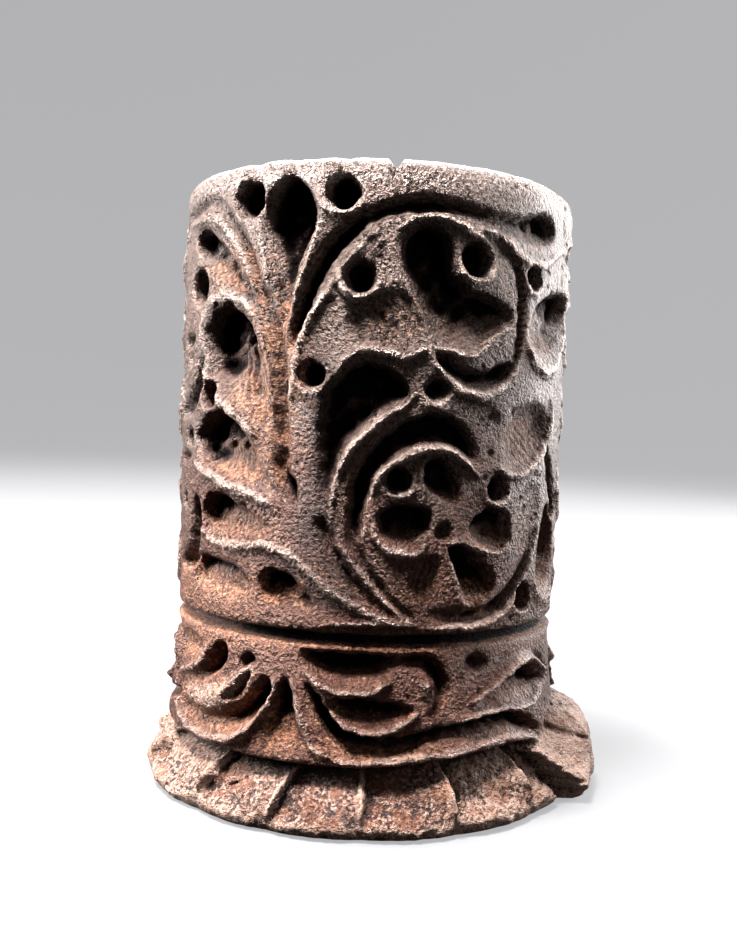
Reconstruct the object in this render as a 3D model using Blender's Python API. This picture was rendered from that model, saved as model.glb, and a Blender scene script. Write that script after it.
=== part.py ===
"""A stamping die of cast bronze: a stout cylinder cut all round with a leafy scroll, on a petalled foot.

The die is one casting, so it is one solid. Its side is worked as a sheet: the carving is drawn flat, in
millimetres, and wrapped round the body, and every point of the skin then sits at its own distance from
the axis. The front of the die looks along -Y, and +Z is up.
"""

import math

import bpy
import numpy as np

# Driving dimensions, in metres.
HEIGHT = 0.0521
BODY_RADIUS = 0.0170
RIM_ROUNDING = 0.0014
FIELD_SWELL = 0.00015  # the main field is a little fuller half way up
DEEPEST_CUT = 0.0021

FOOT_HEIGHT = 0.0052
FOOT_SPREAD = 0.0024  # how far the foot's widest line stands out from the body
FOOT_EDGE_HEIGHT = 0.0011  # height of that line
FOOT_UNDERCUT = 0.0010  # from that line in to the flat that the die stands on
FOOT_BULGE = 3.0  # 1 makes the foot a plain cone, and more makes it fuller
NECK_DEPTH = 0.0009  # the undercut between foot and lower band
NECK_WIDTH = 0.0010

BAND_HEIGHT = 0.0092
BAND_FLARE = 0.0007  # how far the band's lower edge stands out from the body
GROOVE_WIDTH = 0.0013  # the ring between band and main field
GROOVE_DEPTH = 0.0012

PETALS = 15
PETAL_TURN = math.radians(3.0)  # where the rib nearest the front stands
PETAL_DISH = 0.00075
RIB_SHARE = 0.10  # a rib's half width, as a share of half a petal
SCALLOP = 0.00030

# The break in the foot: a leaning gap through it, and the piece beside the gap, bent out and up.
BREAK_ANGLE = math.radians(62.0)
BREAK_LEAN = math.radians(12.0)  # the gap curves over this far by the top of the foot
BREAK_HALF_WIDTH = math.radians(3.6)
BREAK_CLOSING = 0.80  # how much of that width is gone at the top of the foot
BENT_START = math.radians(2.0)  # it comes to its full reach this far past the middle of the gap
BENT_SHOULDER = math.radians(15.0)  # above the foot it starts this much further round
BENT_EASING_ANGLE = math.radians(88.0)
BENT_TO_ANGLE = math.radians(114.0)
BENT_RISE = 0.0034
BENT_BULGE = 1.6  # how much fuller it is than the rest of the foot
BENT_REACH = 0.0021
BENT_LIFT = 0.0011  # how much higher its widest line is than the rest of the foot's

CELL = 0.00026  # spacing of the points on the skin before it is thinned
SKIN_TRIANGLES = 9400
FLAT_SNAP = 0.00006  # skin points this near the underside or the top lie on it

# The size at which the carving is drawn, in millimetres, from here to the drilled eyes. It stretches with
# the body. The front of the sheet is at 0, and its height counts from the foot of its own field.
DRAWN_RADIUS = 17.0
DRAWN_FIELD = 36.4
DRAWN_BAND = 9.2
GIRTH = 2 * math.pi * DRAWN_RADIUS
REPEAT = GIRTH / 2  # the same drawing is cut on the front and on the back

# Each cut follows the line of its deepest points, from head to tail. Then come its reach to the left and to
# the right of that line and its share of DEEPEST_CUT. A leaf has a round head and a pointed tail, a sickle
# has two points, and a channel runs even.
LEAF, SICKLE, CHANNEL = "leaf", "sickle", "channel"
WIDEST_AT = {LEAF: 0.30, SICKLE: 0.48}  # share of the length
ROUNDNESS = {LEAF: 1.7, SICKLE: 1.5, CHANNEL: 2.2}  # of the cut's section: 1 is a plain V

LEFT_LEAVES = (
    (LEAF, ((-19.2, 30.7), (-16.2, 30.4), (-13.2, 28.6), (-9.6, 24.6)), 0.9, 2.4, 0.55),
    (LEAF, ((-16.2, 23.4), (-13.2, 22.8), (-10.2, 19.4), (-7.3, 14.6)), 2.3, 3.6, 1.00),
    (LEAF, ((-17.7, 15.0), (-14.6, 15.3), (-10.8, 13.3), (-6.5, 10.3)), 1.8, 3.1, 0.95),
    (LEAF, ((-16.4, 8.5), (-13.6, 9.1), (-10.6, 8.2), (-6.4, 6.9)), 1.4, 2.4, 0.82),
    (LEAF, ((-17.8, 3.2), (-14.6, 4.0), (-12.0, 3.6), (-9.2, 2.0)), 0.9, 2.6, 0.66),
    (LEAF, ((-9.0, 3.4), (-7.0, 4.0), (-4.0, 3.0), (0.2, 1.2)), 0.5, 2.0, 0.62),
    (CHANNEL, ((-20.2, 33.6), (-15.2, 33.5), (-12.2, 31.3), (-9.3, 26.0), (-7.3, 17.2)), 0.5, 0.5, 0.36),
    (CHANNEL, ((-16.9, 9.4), (-17.3, 7.0), (-18.1, 5.0), (-19.8, 3.4)), 0.9, 0.9, 0.74),
    (SICKLE, ((-16.9, 21.6), (-17.2, 19.0), (-18.2, 17.4), (-20.4, 16.6)), 0.6, 0.7, 0.62),
    (LEAF, ((-18.2, 22.6), (-19.4, 22.8), (-21.0, 21.8)), 0.6, 0.6, 0.62),
    (SICKLE, ((-18.6, 12.8), (-20.6, 12.9), (-23.0, 12.2)), 0.7, 0.8, 0.62),
)
STEM_AND_RIM = (
    (LEAF, ((-7.0, 35.0), (-7.1, 32.6), (-7.2, 28.8), (-6.6, 22.4)), 2.4, 2.3, 1.05),
    (SICKLE, ((-7.0, 23.4), (-6.7, 18.0), (-6.9, 13.6), (-6.2, 10.3)), 0.4, 0.4, 0.55),
    (CHANNEL, ((-6.1, 21.6), (-5.4, 25.2), (-3.7, 29.2), (-1.6, 31.6), (1.6, 32.9)), 0.7, 0.55, 0.74),
    (CHANNEL, ((0.2, 32.5), (4.6, 33.1), (8.6, 32.7), (12.4, 32.5), (16.9, 32.8)), 0.6, 0.95, 0.70),
    (LEAF, ((18.4, 32.6), (16.4, 33.0), (13.4, 32.2), (9.6, 31.4)), 1.8, 1.1, 0.90),
    (CHANNEL, ((9.6, 30.5), (11.8, 29.0), (13.0, 26.2), (13.0, 22.0)), 0.5, 0.5, 0.26),
)
TOP_FLOWER = (
    (LEAF, ((3.7, 31.8), (3.8, 29.4), (4.3, 26.8), (5.6, 24.0)), 2.2, 2.1, 1.00),
    (LEAF, ((12.0, 24.6), (9.6, 25.4), (7.0, 25.0), (4.2, 24.6)), 2.4, 1.5, 0.98),
    (LEAF, ((-2.9, 23.5), (-0.6, 24.4), (2.0, 24.0), (4.4, 22.4)), 1.5, 1.8, 0.50),
    (LEAF, ((3.0, 19.3), (0.6, 19.5), (-2.0, 17.9), (-3.5, 14.8), (-3.7, 8.4)), 2.0, 2.0, 1.00),
    (SICKLE, ((4.2, 22.0), (5.8, 20.5), (8.2, 20.2), (11.8, 21.6)), 0.6, 1.0, 0.80),
    (LEAF, ((20.2, 26.9), (17.4, 26.6), (15.6, 24.4), (14.6, 21.4)), 1.6, 3.2, 0.70),
    (LEAF, ((18.2, 17.0), (15.8, 16.6), (13.2, 14.4), (10.9, 12.2)), 2.4, 2.0, 0.60),
)
MEDALLION = (
    (SICKLE, ((-2.0, 6.6), (-1.4, 12.0), (0.9, 15.2), (4.6, 16.4), (7.6, 15.4), (9.2, 13.0)), 0.6, 1.2, 1.0),
    (LEAF, ((4.7, 14.4), (5.6, 12.4), (6.3, 10.4), (6.3, 8.0)), 1.4, 1.4, 0.85),
    (LEAF, ((0.3, 8.8), (2.4, 9.2), (4.0, 8.7), (6.2, 7.9)), 1.5, 2.2, 0.84),
    (LEAF, ((12.6, 8.6), (10.8, 9.0), (9.0, 8.5), (6.4, 8.1)), 1.9, 1.2, 0.78),
    (LEAF, ((10.9, 3.2), (9.3, 4.4), (8.0, 5.7), (6.7, 7.2)), 2.0, 0.9, 0.84),
    (LEAF, ((4.7, 2.2), (4.8, 4.4), (5.8, 7.2)), 1.2, 1.2, 0.45),
    (SICKLE, ((4.6, 1.8), (8.4, 1.2), (12.4, 2.6), (16.0, 6.2)), 0.6, 0.6, 0.42),
    (SICKLE, ((-5.0, 7.6), (-3.0, 4.6), (0.2, 2.4), (4.0, 0.9)), 0.5, 0.6, 0.34),
    (SICKLE, ((-2.6, 8.6), (-0.8, 5.4), (2.0, 2.9), (5.4, 1.2)), 0.5, 0.6, 0.40),
    (SICKLE, ((18.0, 12.8), (18.8, 8.4), (18.4, 4.6), (17.2, 1.6)), 1.4, 1.2, 0.72),
)
# The narrow field at each side, between the end of one scroll and the start of the next, holds a vine.
VINE_MIDDLE = 25.6
VINE_LEAVES = 5
VINE_WAVE = 1.3
VINE_STEM_WIDTH = 1.0
VINE_STEM_DEPTH = 0.40
VINE_REACH = 4.4
VINE_LEAF_WIDTH = 4.0
VINE_LEAF_DEPTH = 0.85
VINE_EYE_RADIUS = 0.95
VINE_EYE_DEPTH = 0.80

BAND_CUTS = (
    (SICKLE, ((-11.9, 8.8), (-13.4, 6.4), (-15.9, 4.8), (-19.6, 4.6)), 0.9, 1.1, 0.84),
    (LEAF, ((-8.9, 8.6), (-9.7, 7.6), (-10.6, 6.4)), 0.7, 0.6, 0.60),
    (SICKLE, ((-7.2, 7.0), (-8.5, 4.2), (-11.0, 2.3), (-14.6, 1.9), (-18.8, 4.0)), 1.1, 1.1, 0.84),
    (LEAF, ((-6.3, 0.6), (-6.3, 2.6), (-6.1, 7.4)), 1.8, 1.6, 0.82),
    (SICKLE, ((-5.6, 8.6), (-3.0, 8.0), (0.0, 7.8), (3.2, 8.6)), 0.8, 2.1, 0.92),
    (SICKLE, ((-3.6, 4.9), (-1.0, 4.4), (1.6, 4.3), (4.6, 4.5)), 0.9, 1.3, 0.92),
    (SICKLE, ((-4.2, 6.0), (-2.3, 3.0), (1.6, 1.4), (7.0, 2.6), (12.2, 3.1), (18.6, 0.9)), 0.8, 0.8, 0.80),
    (SICKLE, ((2.4, 8.5), (5.2, 8.2), (6.5, 6.4), (5.7, 4.6)), 0.5, 0.6, 0.56),
    (LEAF, ((18.4, 5.8), (15.6, 6.3), (13.0, 5.9), (9.4, 4.6)), 1.7, 1.0, 0.78),
    (SICKLE, ((16.0, 8.4), (18.6, 7.3), (20.8, 5.4)), 0.4, 0.5, 0.40),
    (SICKLE, ((22.0, 8.4), (23.2, 5.0), (26.4, 2.4), (31.0, 3.0)), 0.9, 1.0, 0.74),
    (LEAF, ((25.4, 8.2), (27.0, 6.6), (30.4, 5.6)), 1.0, 1.1, 0.70),
)
# Drilled eyes, each with its place, its radius and its share of DEEPEST_CUT.
FIELD_DRILLED = (
    (-10.95, 33.6, 1.30, 0.95),
    (-2.6, 33.7, 1.15, 1.00),
    (-1.35, 27.3, 1.15, 1.00),
    (8.1, 29.1, 1.20, 1.00),
    (-4.75, 19.8, 0.95, 0.95),
    (4.9, 19.0, 0.80, 0.70),
    (14.3, 28.5, 0.75, 0.75),
    (-17.8, 27.1, 1.45, 0.85),
    (-15.2, 18.2, 0.95, 0.90),
    (-19.2, 14.4, 0.75, 0.70),
    (2.5, 12.1, 0.85, 0.85),
    (10.8, 11.1, 0.90, 0.80),
    (14.75, 2.5, 0.95, 0.90),
)
BAND_DRILLED = ((9.2, 7.9, 0.90, 0.60),)
# Knocks on the rim: the same cuts, drawn in the main field.
RIM_KNOCKS = (
    (LEAF, ((1.25, 37.4), (1.3, 36.0), (1.5, 33.0)), 0.55, 0.55, 0.80),
    (SICKLE, ((-6.2, 36.4), (-5.0, 36.5), (-3.8, 36.4)), 0.5, 0.5, 0.25),
)

BRONZE = (0.115, 0.082, 0.066, 1.0)


def smooth_line(points, steps=10):
    """Points along a Catmull-Rom curve through the given ones."""
    p = np.array(points, float)
    p = np.vstack([2 * p[0] - p[1], p, 2 * p[-1] - p[-2]])
    t = np.arange(steps)[:, None] / steps
    runs = []
    for a, b, c, d in zip(p, p[1:], p[2:], p[3:]):
        bend = (2 * a - 5 * b + 4 * c - d) * t**2
        twist = (3 * b - a - 3 * c + d) * t**3
        runs.append(0.5 * (2 * b + (c - a) * t + bend + twist))
    return np.vstack([*runs, p[-2:-1]])


def width_along(kind, t):
    """A cut's width at share t of its length, with 1 at its widest."""
    if kind == CHANNEL:
        return np.sqrt(np.clip(1 - np.abs(2 * t - 1) ** 8, 0, 1))
    widest = WIDEST_AT[kind]
    before = np.clip(1 - t / widest, 0, 1)
    after = np.clip((t - widest) / (1 - widest), 0, 1)
    head = np.sqrt(1 - before**2) if kind == LEAF else np.cos(before * math.pi / 2)
    return np.where(t < widest, head, np.cos(after * math.pi / 2) ** 0.9)


def vine():
    """Cuts and drilled eyes of a waving stem with leaves to left and right in turn."""
    step = DRAWN_FIELD / VINE_LEAVES
    stem = tuple((VINE_MIDDLE + VINE_WAVE * (-1) ** k, step * (k + 0.05)) for k in range(VINE_LEAVES))
    stem += ((VINE_MIDDLE, DRAWN_FIELD - 0.4 * step),)
    cuts = [(CHANNEL, stem, VINE_STEM_WIDTH / 2, VINE_STEM_WIDTH / 2, VINE_STEM_DEPTH)]
    eyes = []
    for k in range(VINE_LEAVES):
        side = (-1) ** k
        foot = step * k
        tip = (VINE_MIDDLE + side * VINE_REACH, foot + 0.40 * step)
        head = (VINE_MIDDLE + side * 0.80 * VINE_REACH, foot + 0.64 * step)
        shoulder = (VINE_MIDDLE + side * 0.45 * VINE_REACH, foot + 0.48 * step)
        tail = (VINE_MIDDLE + side * VINE_WAVE, foot - 0.10 * step)
        half = VINE_LEAF_WIDTH / 2
        cuts.append((LEAF, (tip, head, shoulder, tail), half, half, VINE_LEAF_DEPTH))
        eye_at = VINE_MIDDLE - side * 0.7 * VINE_REACH
        eyes.append((eye_at, foot + 0.32 * step, VINE_EYE_RADIUS, VINE_EYE_DEPTH))
    return tuple(cuts), tuple(eyes)


def cut_depth(kind, points, left, right, x, y):
    """Depth of one cut at the points (x, y) of the sheet, with 1 at its deepest."""
    line = smooth_line(points)
    step = np.diff(line, axis=0)
    length = np.hypot(*step.T)
    start = np.concatenate([[0], np.cumsum(length)[:-1]])
    nearest = np.full(x.shape, np.inf)
    along = np.zeros(x.shape)
    side = np.zeros(x.shape)
    for (ax, ay), (dx, dy), run, begun in zip(line, step, length, start):
        t = np.clip(((x - ax) * dx + (y - ay) * dy) / run**2, 0, 1)
        away = np.hypot(x - ax - t * dx, y - ay - t * dy)
        closer = away < nearest
        nearest = np.where(closer, away, nearest)
        along = np.where(closer, begun + t * run, along)
        side = np.where(closer, dx * (y - ay) - dy * (x - ax), side)
    share = along / length.sum()
    width = width_along(kind, share) * np.where(side > 0, left, right)
    inside = np.clip(nearest / np.maximum(width, 1e-6), 0, 1)
    run_out = 1 if kind == CHANNEL else np.clip(width_along(kind, share), 0, 1) ** 0.6
    return (1 - inside ** ROUNDNESS[kind]) * run_out


def drilled_depth(cx, cy, radius, x, y):
    """Depth of a drilled eye: a steep wall with a small bevel, and a cupped floor."""
    away = np.hypot(x - cx, y - cy) / radius
    wall = np.clip((1.12 - away) / 0.34, 0, 1)
    return wall * wall * (3 - 2 * wall) * (1 - 0.18 * np.clip(away, 0, 1) ** 2)


def around(x, centre):
    """x on the sheet, shifted by whole girths to lie within half a girth of centre."""
    return (x - centre + GIRTH / 2) % GIRTH - GIRTH / 2 + centre


def carving(x, y, cuts, drilled, repeat=True):
    """Depth of all the carving of one field at the sheet points (x, y), as a share of DEEPEST_CUT."""
    depth = np.zeros(x.shape)
    for copy in (0, 1) if repeat else (0,):
        for kind, points, left, right, share in cuts:
            p = np.array(points) + (copy * REPEAT, 0)
            near = around(x, p[:, 0].mean())
            reach = max(left, right) + 0.5
            low, high = p.min(axis=0) - reach, p.max(axis=0) + reach
            here = (near > low[0]) & (near < high[0]) & (y > low[1]) & (y < high[1])
            cut = share * cut_depth(kind, p, left, right, near[here], y[here])
            depth[here] = np.maximum(depth[here], cut)
        for cx, cy, radius, share in drilled:
            near = around(x, cx + copy * REPEAT)
            here = np.hypot(near - cx - copy * REPEAT, y - cy) < 1.2 * radius
            eye = share * drilled_depth(cx + copy * REPEAT, cy, radius, near[here], y[here])
            depth[here] = np.maximum(depth[here], eye)
    return depth


def ramp(value, low, high):
    """0 below low, 1 above high, and a smooth slope between."""
    t = np.clip((value - low) / (high - low), 0, 1)
    return t * t * (3 - 2 * t)


def break_angle(z):
    """Where the middle of the gap runs, from the underside to the top of the foot."""
    return BREAK_ANGLE - BREAK_LEAN * np.clip(z / FOOT_HEIGHT, 0, 1) ** 2


def foot_reach(angle, z):
    """The foot's radius at a height: petals dished between ribs, and fuller where a piece is bent out."""
    start = break_angle(z) + BENT_SHOULDER * ramp(z, 0.9 * FOOT_HEIGHT, FOOT_HEIGHT + 0.6 * BENT_RISE)
    bent = ramp(angle, start - BENT_START, start + BENT_START)
    bent = bent * (1 - ramp(angle, BENT_EASING_ANGLE, BENT_TO_ANGLE))
    top = FOOT_HEIGHT + BENT_RISE * bent
    edge = BODY_RADIUS + FOOT_SPREAD + BENT_REACH * bent
    widest = FOOT_EDGE_HEIGHT + BENT_LIFT * bent
    up = np.clip((z - widest) / (top - widest), 0, 1)
    face = edge + (BODY_RADIUS - edge) * up ** (FOOT_BULGE + BENT_BULGE * bent)
    under = np.sqrt(np.clip(1 - (1 - z / widest) ** 2, 0, 1))
    face = np.where(z < widest, edge - (FOOT_UNDERCUT + BENT_REACH * bent) * (1 - under), face)
    across = np.abs(((angle - PETAL_TURN) * PETALS / (2 * math.pi)) % 1 - 0.5) * 2
    petal = np.clip(1 - (across / (1 - RIB_SHARE)) ** 4, 0, 1)
    dish = PETAL_DISH * petal * np.sin(math.pi * up) ** 0.5
    lobe = SCALLOP * (petal - 0.5) * (1 - up) * under
    return np.where(z < top, face - dish + lobe, 0)


def in_gap(angle, z):
    """1 inside the gap that the break left in the foot, 0 outside it. It leans, and closes upwards."""
    up = z / FOOT_HEIGHT
    half_width = BREAK_HALF_WIDTH * (1 - BREAK_CLOSING * np.clip(up, 0, 1))
    off = np.abs(angle - break_angle(z))
    below_neck = 1 - ramp(z, FOOT_HEIGHT - NECK_WIDTH, FOOT_HEIGHT)
    return (1 - ramp(off, 0.7 * half_width, half_width)) * below_neck


def body_reach(z):
    """The turned shape under the carving: flared band, ring groove, main field and rounded rim."""
    band_top = FOOT_HEIGHT + BAND_HEIGHT
    field = band_top + GROOVE_WIDTH
    flare = BAND_FLARE * (1 - np.clip((z - FOOT_HEIGHT) / BAND_HEIGHT, 0, 1)) ** 1.2
    swell = FIELD_SWELL * np.sin(math.pi * np.clip((z - field) / (HEIGHT - field), 0, 1))
    groove = 1 - np.abs((z - band_top - GROOVE_WIDTH / 2) / (GROOVE_WIDTH / 2))
    neck = 1 - np.abs((z - FOOT_HEIGHT) / (NECK_WIDTH / 2))
    into_rim = np.clip((z - HEIGHT + RIM_ROUNDING) / RIM_ROUNDING, 0, 1)
    rim = RIM_ROUNDING * (1 - np.sqrt(1 - into_rim**2))
    cut = GROOVE_DEPTH * np.clip(groove, 0, 1) ** 0.7 + NECK_DEPTH * np.clip(neck, 0, 1) ** 0.8
    return BODY_RADIUS + flare + swell - cut - rim


def skin_radius(angle, z):
    """Distance from the axis to the die's skin, in metres."""
    band_top = FOOT_HEIGHT + BAND_HEIGHT
    field = band_top + GROOVE_WIDTH
    x = angle * DRAWN_RADIUS
    field_y = (z - field) / (HEIGHT - field) * DRAWN_FIELD
    band_y = (z - FOOT_HEIGHT) / BAND_HEIGHT * DRAWN_BAND
    vine_cuts, vine_eyes = vine()
    cuts = LEFT_LEAVES + STEM_AND_RIM + TOP_FLOWER + MEDALLION + vine_cuts
    depth = carving(x, field_y, cuts, FIELD_DRILLED + vine_eyes)
    depth = np.maximum(depth, carving(x, field_y, RIM_KNOCKS, (), repeat=False))
    depth = np.where(z > field, depth, carving(x, band_y, BAND_CUTS, BAND_DRILLED))
    depth = np.where((z > FOOT_HEIGHT) & ((z < band_top) | (z > field)), depth, 0)
    body = body_reach(z) - DEEPEST_CUT * depth
    radius = np.maximum(body, foot_reach(angle, z))
    gap_floor = BODY_RADIUS - NECK_DEPTH
    return radius + np.minimum(gap_floor - radius, 0) * in_gap(angle, z)


def profile_heights():
    """Heights of the rings of points: even up the side, and closing up round the rim."""
    side = np.linspace(0, HEIGHT - RIM_ROUNDING, round((HEIGHT - RIM_ROUNDING) / CELL) + 1)
    turns = np.linspace(0, math.pi / 2, 9)[1:]
    return np.concatenate([side, HEIGHT - RIM_ROUNDING * (1 - np.sin(turns))])


def make_skin():
    """The whole skin as a closed mesh of rings, with a point in the middle of each end."""
    columns = round(2 * math.pi * BODY_RADIUS / CELL)
    heights = profile_heights()
    angle, z = np.meshgrid(np.arange(columns) * 2 * math.pi / columns - math.pi, heights)
    radius = skin_radius(angle, z)
    rings = np.stack([radius * np.sin(angle), -radius * np.cos(angle), z], axis=-1).reshape(-1, 3)
    points = np.vstack([rings, (0, 0, 0), (0, 0, HEIGHT)])
    column = np.arange(columns)
    after = (column + 1) % columns
    faces = []
    for row in range(len(heights) - 1):
        low, high = row * columns, (row + 1) * columns
        faces.extend(np.stack([low + column, low + after, high + after, high + column], axis=1).tolist())
    last = (len(heights) - 1) * columns
    faces.extend(np.stack([after, column, np.full(columns, len(rings))], axis=1).tolist())
    faces.extend(np.stack([last + column, last + after, np.full(columns, len(rings) + 1)], axis=1).tolist())
    mesh = bpy.data.meshes.new("die_skin")
    mesh.from_pydata(points.tolist(), [], faces)
    return mesh


def thinned(mesh):
    """The mesh with only as many triangles as its carving needs, and both ends exactly flat."""
    dense = bpy.data.objects.new("dense_skin", mesh)
    bpy.context.scene.collection.objects.link(dense)
    modifier = dense.modifiers.new("thin", "DECIMATE")
    triangles = sum(len(face.vertices) - 2 for face in mesh.polygons)
    modifier.ratio = SKIN_TRIANGLES / triangles
    modifier.use_collapse_triangulate = True
    made = bpy.data.meshes.new_from_object(dense.evaluated_get(bpy.context.evaluated_depsgraph_get()))
    bpy.data.objects.remove(dense)
    for vertex in made.vertices:
        for flat in (0, HEIGHT):
            if abs(vertex.co.z - flat) < FLAT_SNAP:
                vertex.co.z = flat
    return made


def bronze():
    material = bpy.data.materials.new("bronze")
    material.use_nodes = True
    shader = material.node_tree.nodes["Principled BSDF"]
    shader.inputs["Base Color"].default_value = BRONZE
    shader.inputs["Metallic"].default_value = 0.85
    shader.inputs["Roughness"].default_value = 0.5
    return material


def main():
    for old in list(bpy.data.objects):
        bpy.data.objects.remove(old)
    mesh = thinned(make_skin())
    mesh.materials.clear()
    mesh.materials.append(bronze())
    mesh.shade_smooth()
    mesh.set_sharp_from_angle(angle=math.radians(35))
    die = bpy.data.objects.new("die", mesh)
    bpy.context.scene.collection.objects.link(die)


main()
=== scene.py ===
"""The bronze stamping die as it stands in the light: worn, dark, and rusty brown where dirt has stayed, with
some shade and highlights painted into its colour.

The die is one casting, so it is one piece. Its side is drawn as a flat sheet in millimetres, s to the right
and z up, and the sheet is wrapped round the body with s = 0 at the front.
"""

import math

import bpy
import numpy as np
from mathutils import Matrix, Vector


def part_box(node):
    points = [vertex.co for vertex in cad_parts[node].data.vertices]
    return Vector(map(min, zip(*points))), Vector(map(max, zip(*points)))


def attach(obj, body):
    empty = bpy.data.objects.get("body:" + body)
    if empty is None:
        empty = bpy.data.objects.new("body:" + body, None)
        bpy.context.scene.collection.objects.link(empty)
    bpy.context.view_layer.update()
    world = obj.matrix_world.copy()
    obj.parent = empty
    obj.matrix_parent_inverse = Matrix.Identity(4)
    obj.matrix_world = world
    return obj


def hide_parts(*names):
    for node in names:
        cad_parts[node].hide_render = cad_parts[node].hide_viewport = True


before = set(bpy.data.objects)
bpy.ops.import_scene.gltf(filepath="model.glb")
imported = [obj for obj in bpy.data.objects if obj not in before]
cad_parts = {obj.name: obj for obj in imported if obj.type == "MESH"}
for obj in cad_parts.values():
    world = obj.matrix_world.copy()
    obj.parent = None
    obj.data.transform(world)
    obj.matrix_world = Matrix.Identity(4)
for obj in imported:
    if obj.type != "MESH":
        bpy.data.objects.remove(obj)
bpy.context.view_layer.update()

# The die. Solid bronze, cast in one piece, then cut with gravers and a drill for pressing sheet metal over.
# Everything on it is in this one casting, so all of it is one skin. This is the turned body under the
# carving: the main field, the ring groove, a band that flares a little and the neck line over the foot.
MM = 0.001
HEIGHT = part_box("die")[1].z / MM
RADIUS = 17.0
GIRTH = 2 * math.pi * RADIUS
REPEAT = GIRTH / 2  # the scroll on the front is cut again on the back
FOOT_TOP = 5.2
BAND_TOP = 14.4
FIELD_FOOT = 15.7
FIELD_HEIGHT = HEIGHT - FIELD_FOOT
RIM_ROUNDING = 1.5
FIELD_SWELL = 0.15
BAND_FLARE = 0.7
GROOVE_DEPTH = 1.25
NECK_DEPTH = 1.0
NECK_WIDTH = 0.75
UNDER_NECK = 2.0  # the body is that much thinner inside the foot
# The neck line under the band wanders up at the right, as (s, z).
NECK_LINE = (
    (-53.4, 5.2), (-24.0, 5.0), (-12.0, 4.9), (0.0, 4.95), (4.0, 5.35), (8.0, 5.75),
    (12.0, 5.9), (14.5, 5.8), (17.5, 5.2), (20.0, 4.8), (26.0, 5.0), (53.4, 5.2),
)


def ramp(value, low, high):
    """0 below low, 1 above high, and a smooth slope between."""
    t = np.clip((value - low) / (high - low), 0, 1)
    return t * t * (3 - 2 * t)


def body_reach(z, neck):
    """The turned shape under the carving: flared band, ring groove, main field."""
    flare = BAND_FLARE * (1 - np.clip((z - FOOT_TOP) / (BAND_TOP - FOOT_TOP), 0, 1)) ** 1.2
    swell = FIELD_SWELL * np.sin(math.pi * np.clip((z - FIELD_FOOT) / FIELD_HEIGHT, 0, 1))
    ring = 1 - np.abs((z - (BAND_TOP + FIELD_FOOT) / 2) / ((FIELD_FOOT - BAND_TOP) / 2 - 0.05))
    pinch = 1 - np.abs((z - neck) / (NECK_WIDTH / 2))
    cut = GROOVE_DEPTH * np.clip(ring * 1.5, 0, 1) ** 0.8 + NECK_DEPTH * np.clip(pinch * 1.3, 0, 1) ** 0.8
    return RADIUS + flare + swell - UNDER_NECK * ramp(neck - z, 0.0, 0.35), cut


# The foot: dished petals between thin ribs, cast with the body. It is broken through at the right, and the
# piece beyond the break is bent out and up, thin as a wedge at the broken end. Angles are in degrees, from
# the front round to the right.
FOOT_SPREAD = 2.4
FOOT_EDGE_HEIGHT = 1.1
FOOT_UNDERCUT = 1.0
FOOT_BULGE = 3.0
FOOT_BELOW_NECK = 0.28
FOOT_INSET = 0.3  # how far inside the body's side the petals run in under the band
RIBS = (-168, -144, -120, -96, -70, -40.5, -17.5, 1, 22.5, 44.5, 74, 98, 122, 146, 170)
# How far each rib's foot stands to the right of its head, in degrees.
RIB_LEANS = (0, 1, -2, 0, -2, -3, -5, 0, 1.5, 5, 0, 2, -1, 0, -2)
# Which side of each petal is the deeper: -1 the left, 1 the right.
PETAL_SKEW = (0.3, -0.5, 0.4, 0.6, -0.6, -1, -1, -0.7, -0.8, -0.6, 0.5, -0.7, 0.6, -0.5, 0.4)
PETAL_DISH = 0.95
PETAL_TILT = 1.7  # how much deeper the deep side of a petal is
PETAL_BORDER = 0.05
PETAL_DEGREES = 360 / len(RIBS)
TUCK = 0.5  # how far the petals' heads go in under the band
RIB_HEIGHT = 0.22
RIB_SLOPE = (0.5, 1.7)  # where its sides start and end, in degrees from its middle
# How much the head of each rib is painted pale: rubbed crust and a painted highlight.
RIB_SHINE = (0.2, 0, 0.4, 0, 0.3, 1, 0.4, 0.3, 1, 0.9, 0, 0.5, 0, 0.3, 0.6)
EDGE_UNEVENNESS = 0.20
# The pale line along the foot's edge is rubbed crust and a painted highlight.
EDGE_LINE, EDGE_LINE_WIDTH = 0.85, 0.42  # the rubbed line along the edge
SCALLOP, LOBE_CURVE = 0.50, 0.6  # how far the petals' ends stand out, and how square they are
BREAK_ANGLE, BREAK_LEAN, BREAK_HALF_WIDTH, BREAK_CLOSING = 62.0, 12.0, 3.6, 0.80
BREAK_ROUNDING = 1.5
BENT_START, BENT_SHOULDER, BENT_EASING, BENT_TO = 2.0, 15.0, 88.0, 114.0
BENT_RISE, BENT_REACH, BENT_LIFT, BENT_BULGE = 3.4, 2.1, 0.6, 1.6
BENT_UNDERCUT = 1.0
# The bent piece is a thin wedge at the break and fuller this many degrees on.
WEDGE_REACH, WEDGE_THINNING = 20.0, 2.2
# The floor of the gap: how far past the body's side it is at the foot's edge, and how fast it runs in.
GAP_FLOOR, GAP_FLOOR_SLOPE = 1.3, 2.2
# Cracks in the foot: depth, then the line as (angle, z, half width).
FOOT_CRACKS = (
    (0.50, ((57, 7.5, 0.2), (62, 6.7, 0.3), (68, 5.6, 0.36), (74, 4.7, 0.2))),
    (0.40, ((72, 7.6, 0.2), (77, 7.0, 0.3), (82, 6.8, 0.15))),
    (0.35, ((-36, 2.4, 0.15), (-32, 2.9, 0.3), (-29.5, 3.4, 0.15))),
)


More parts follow.
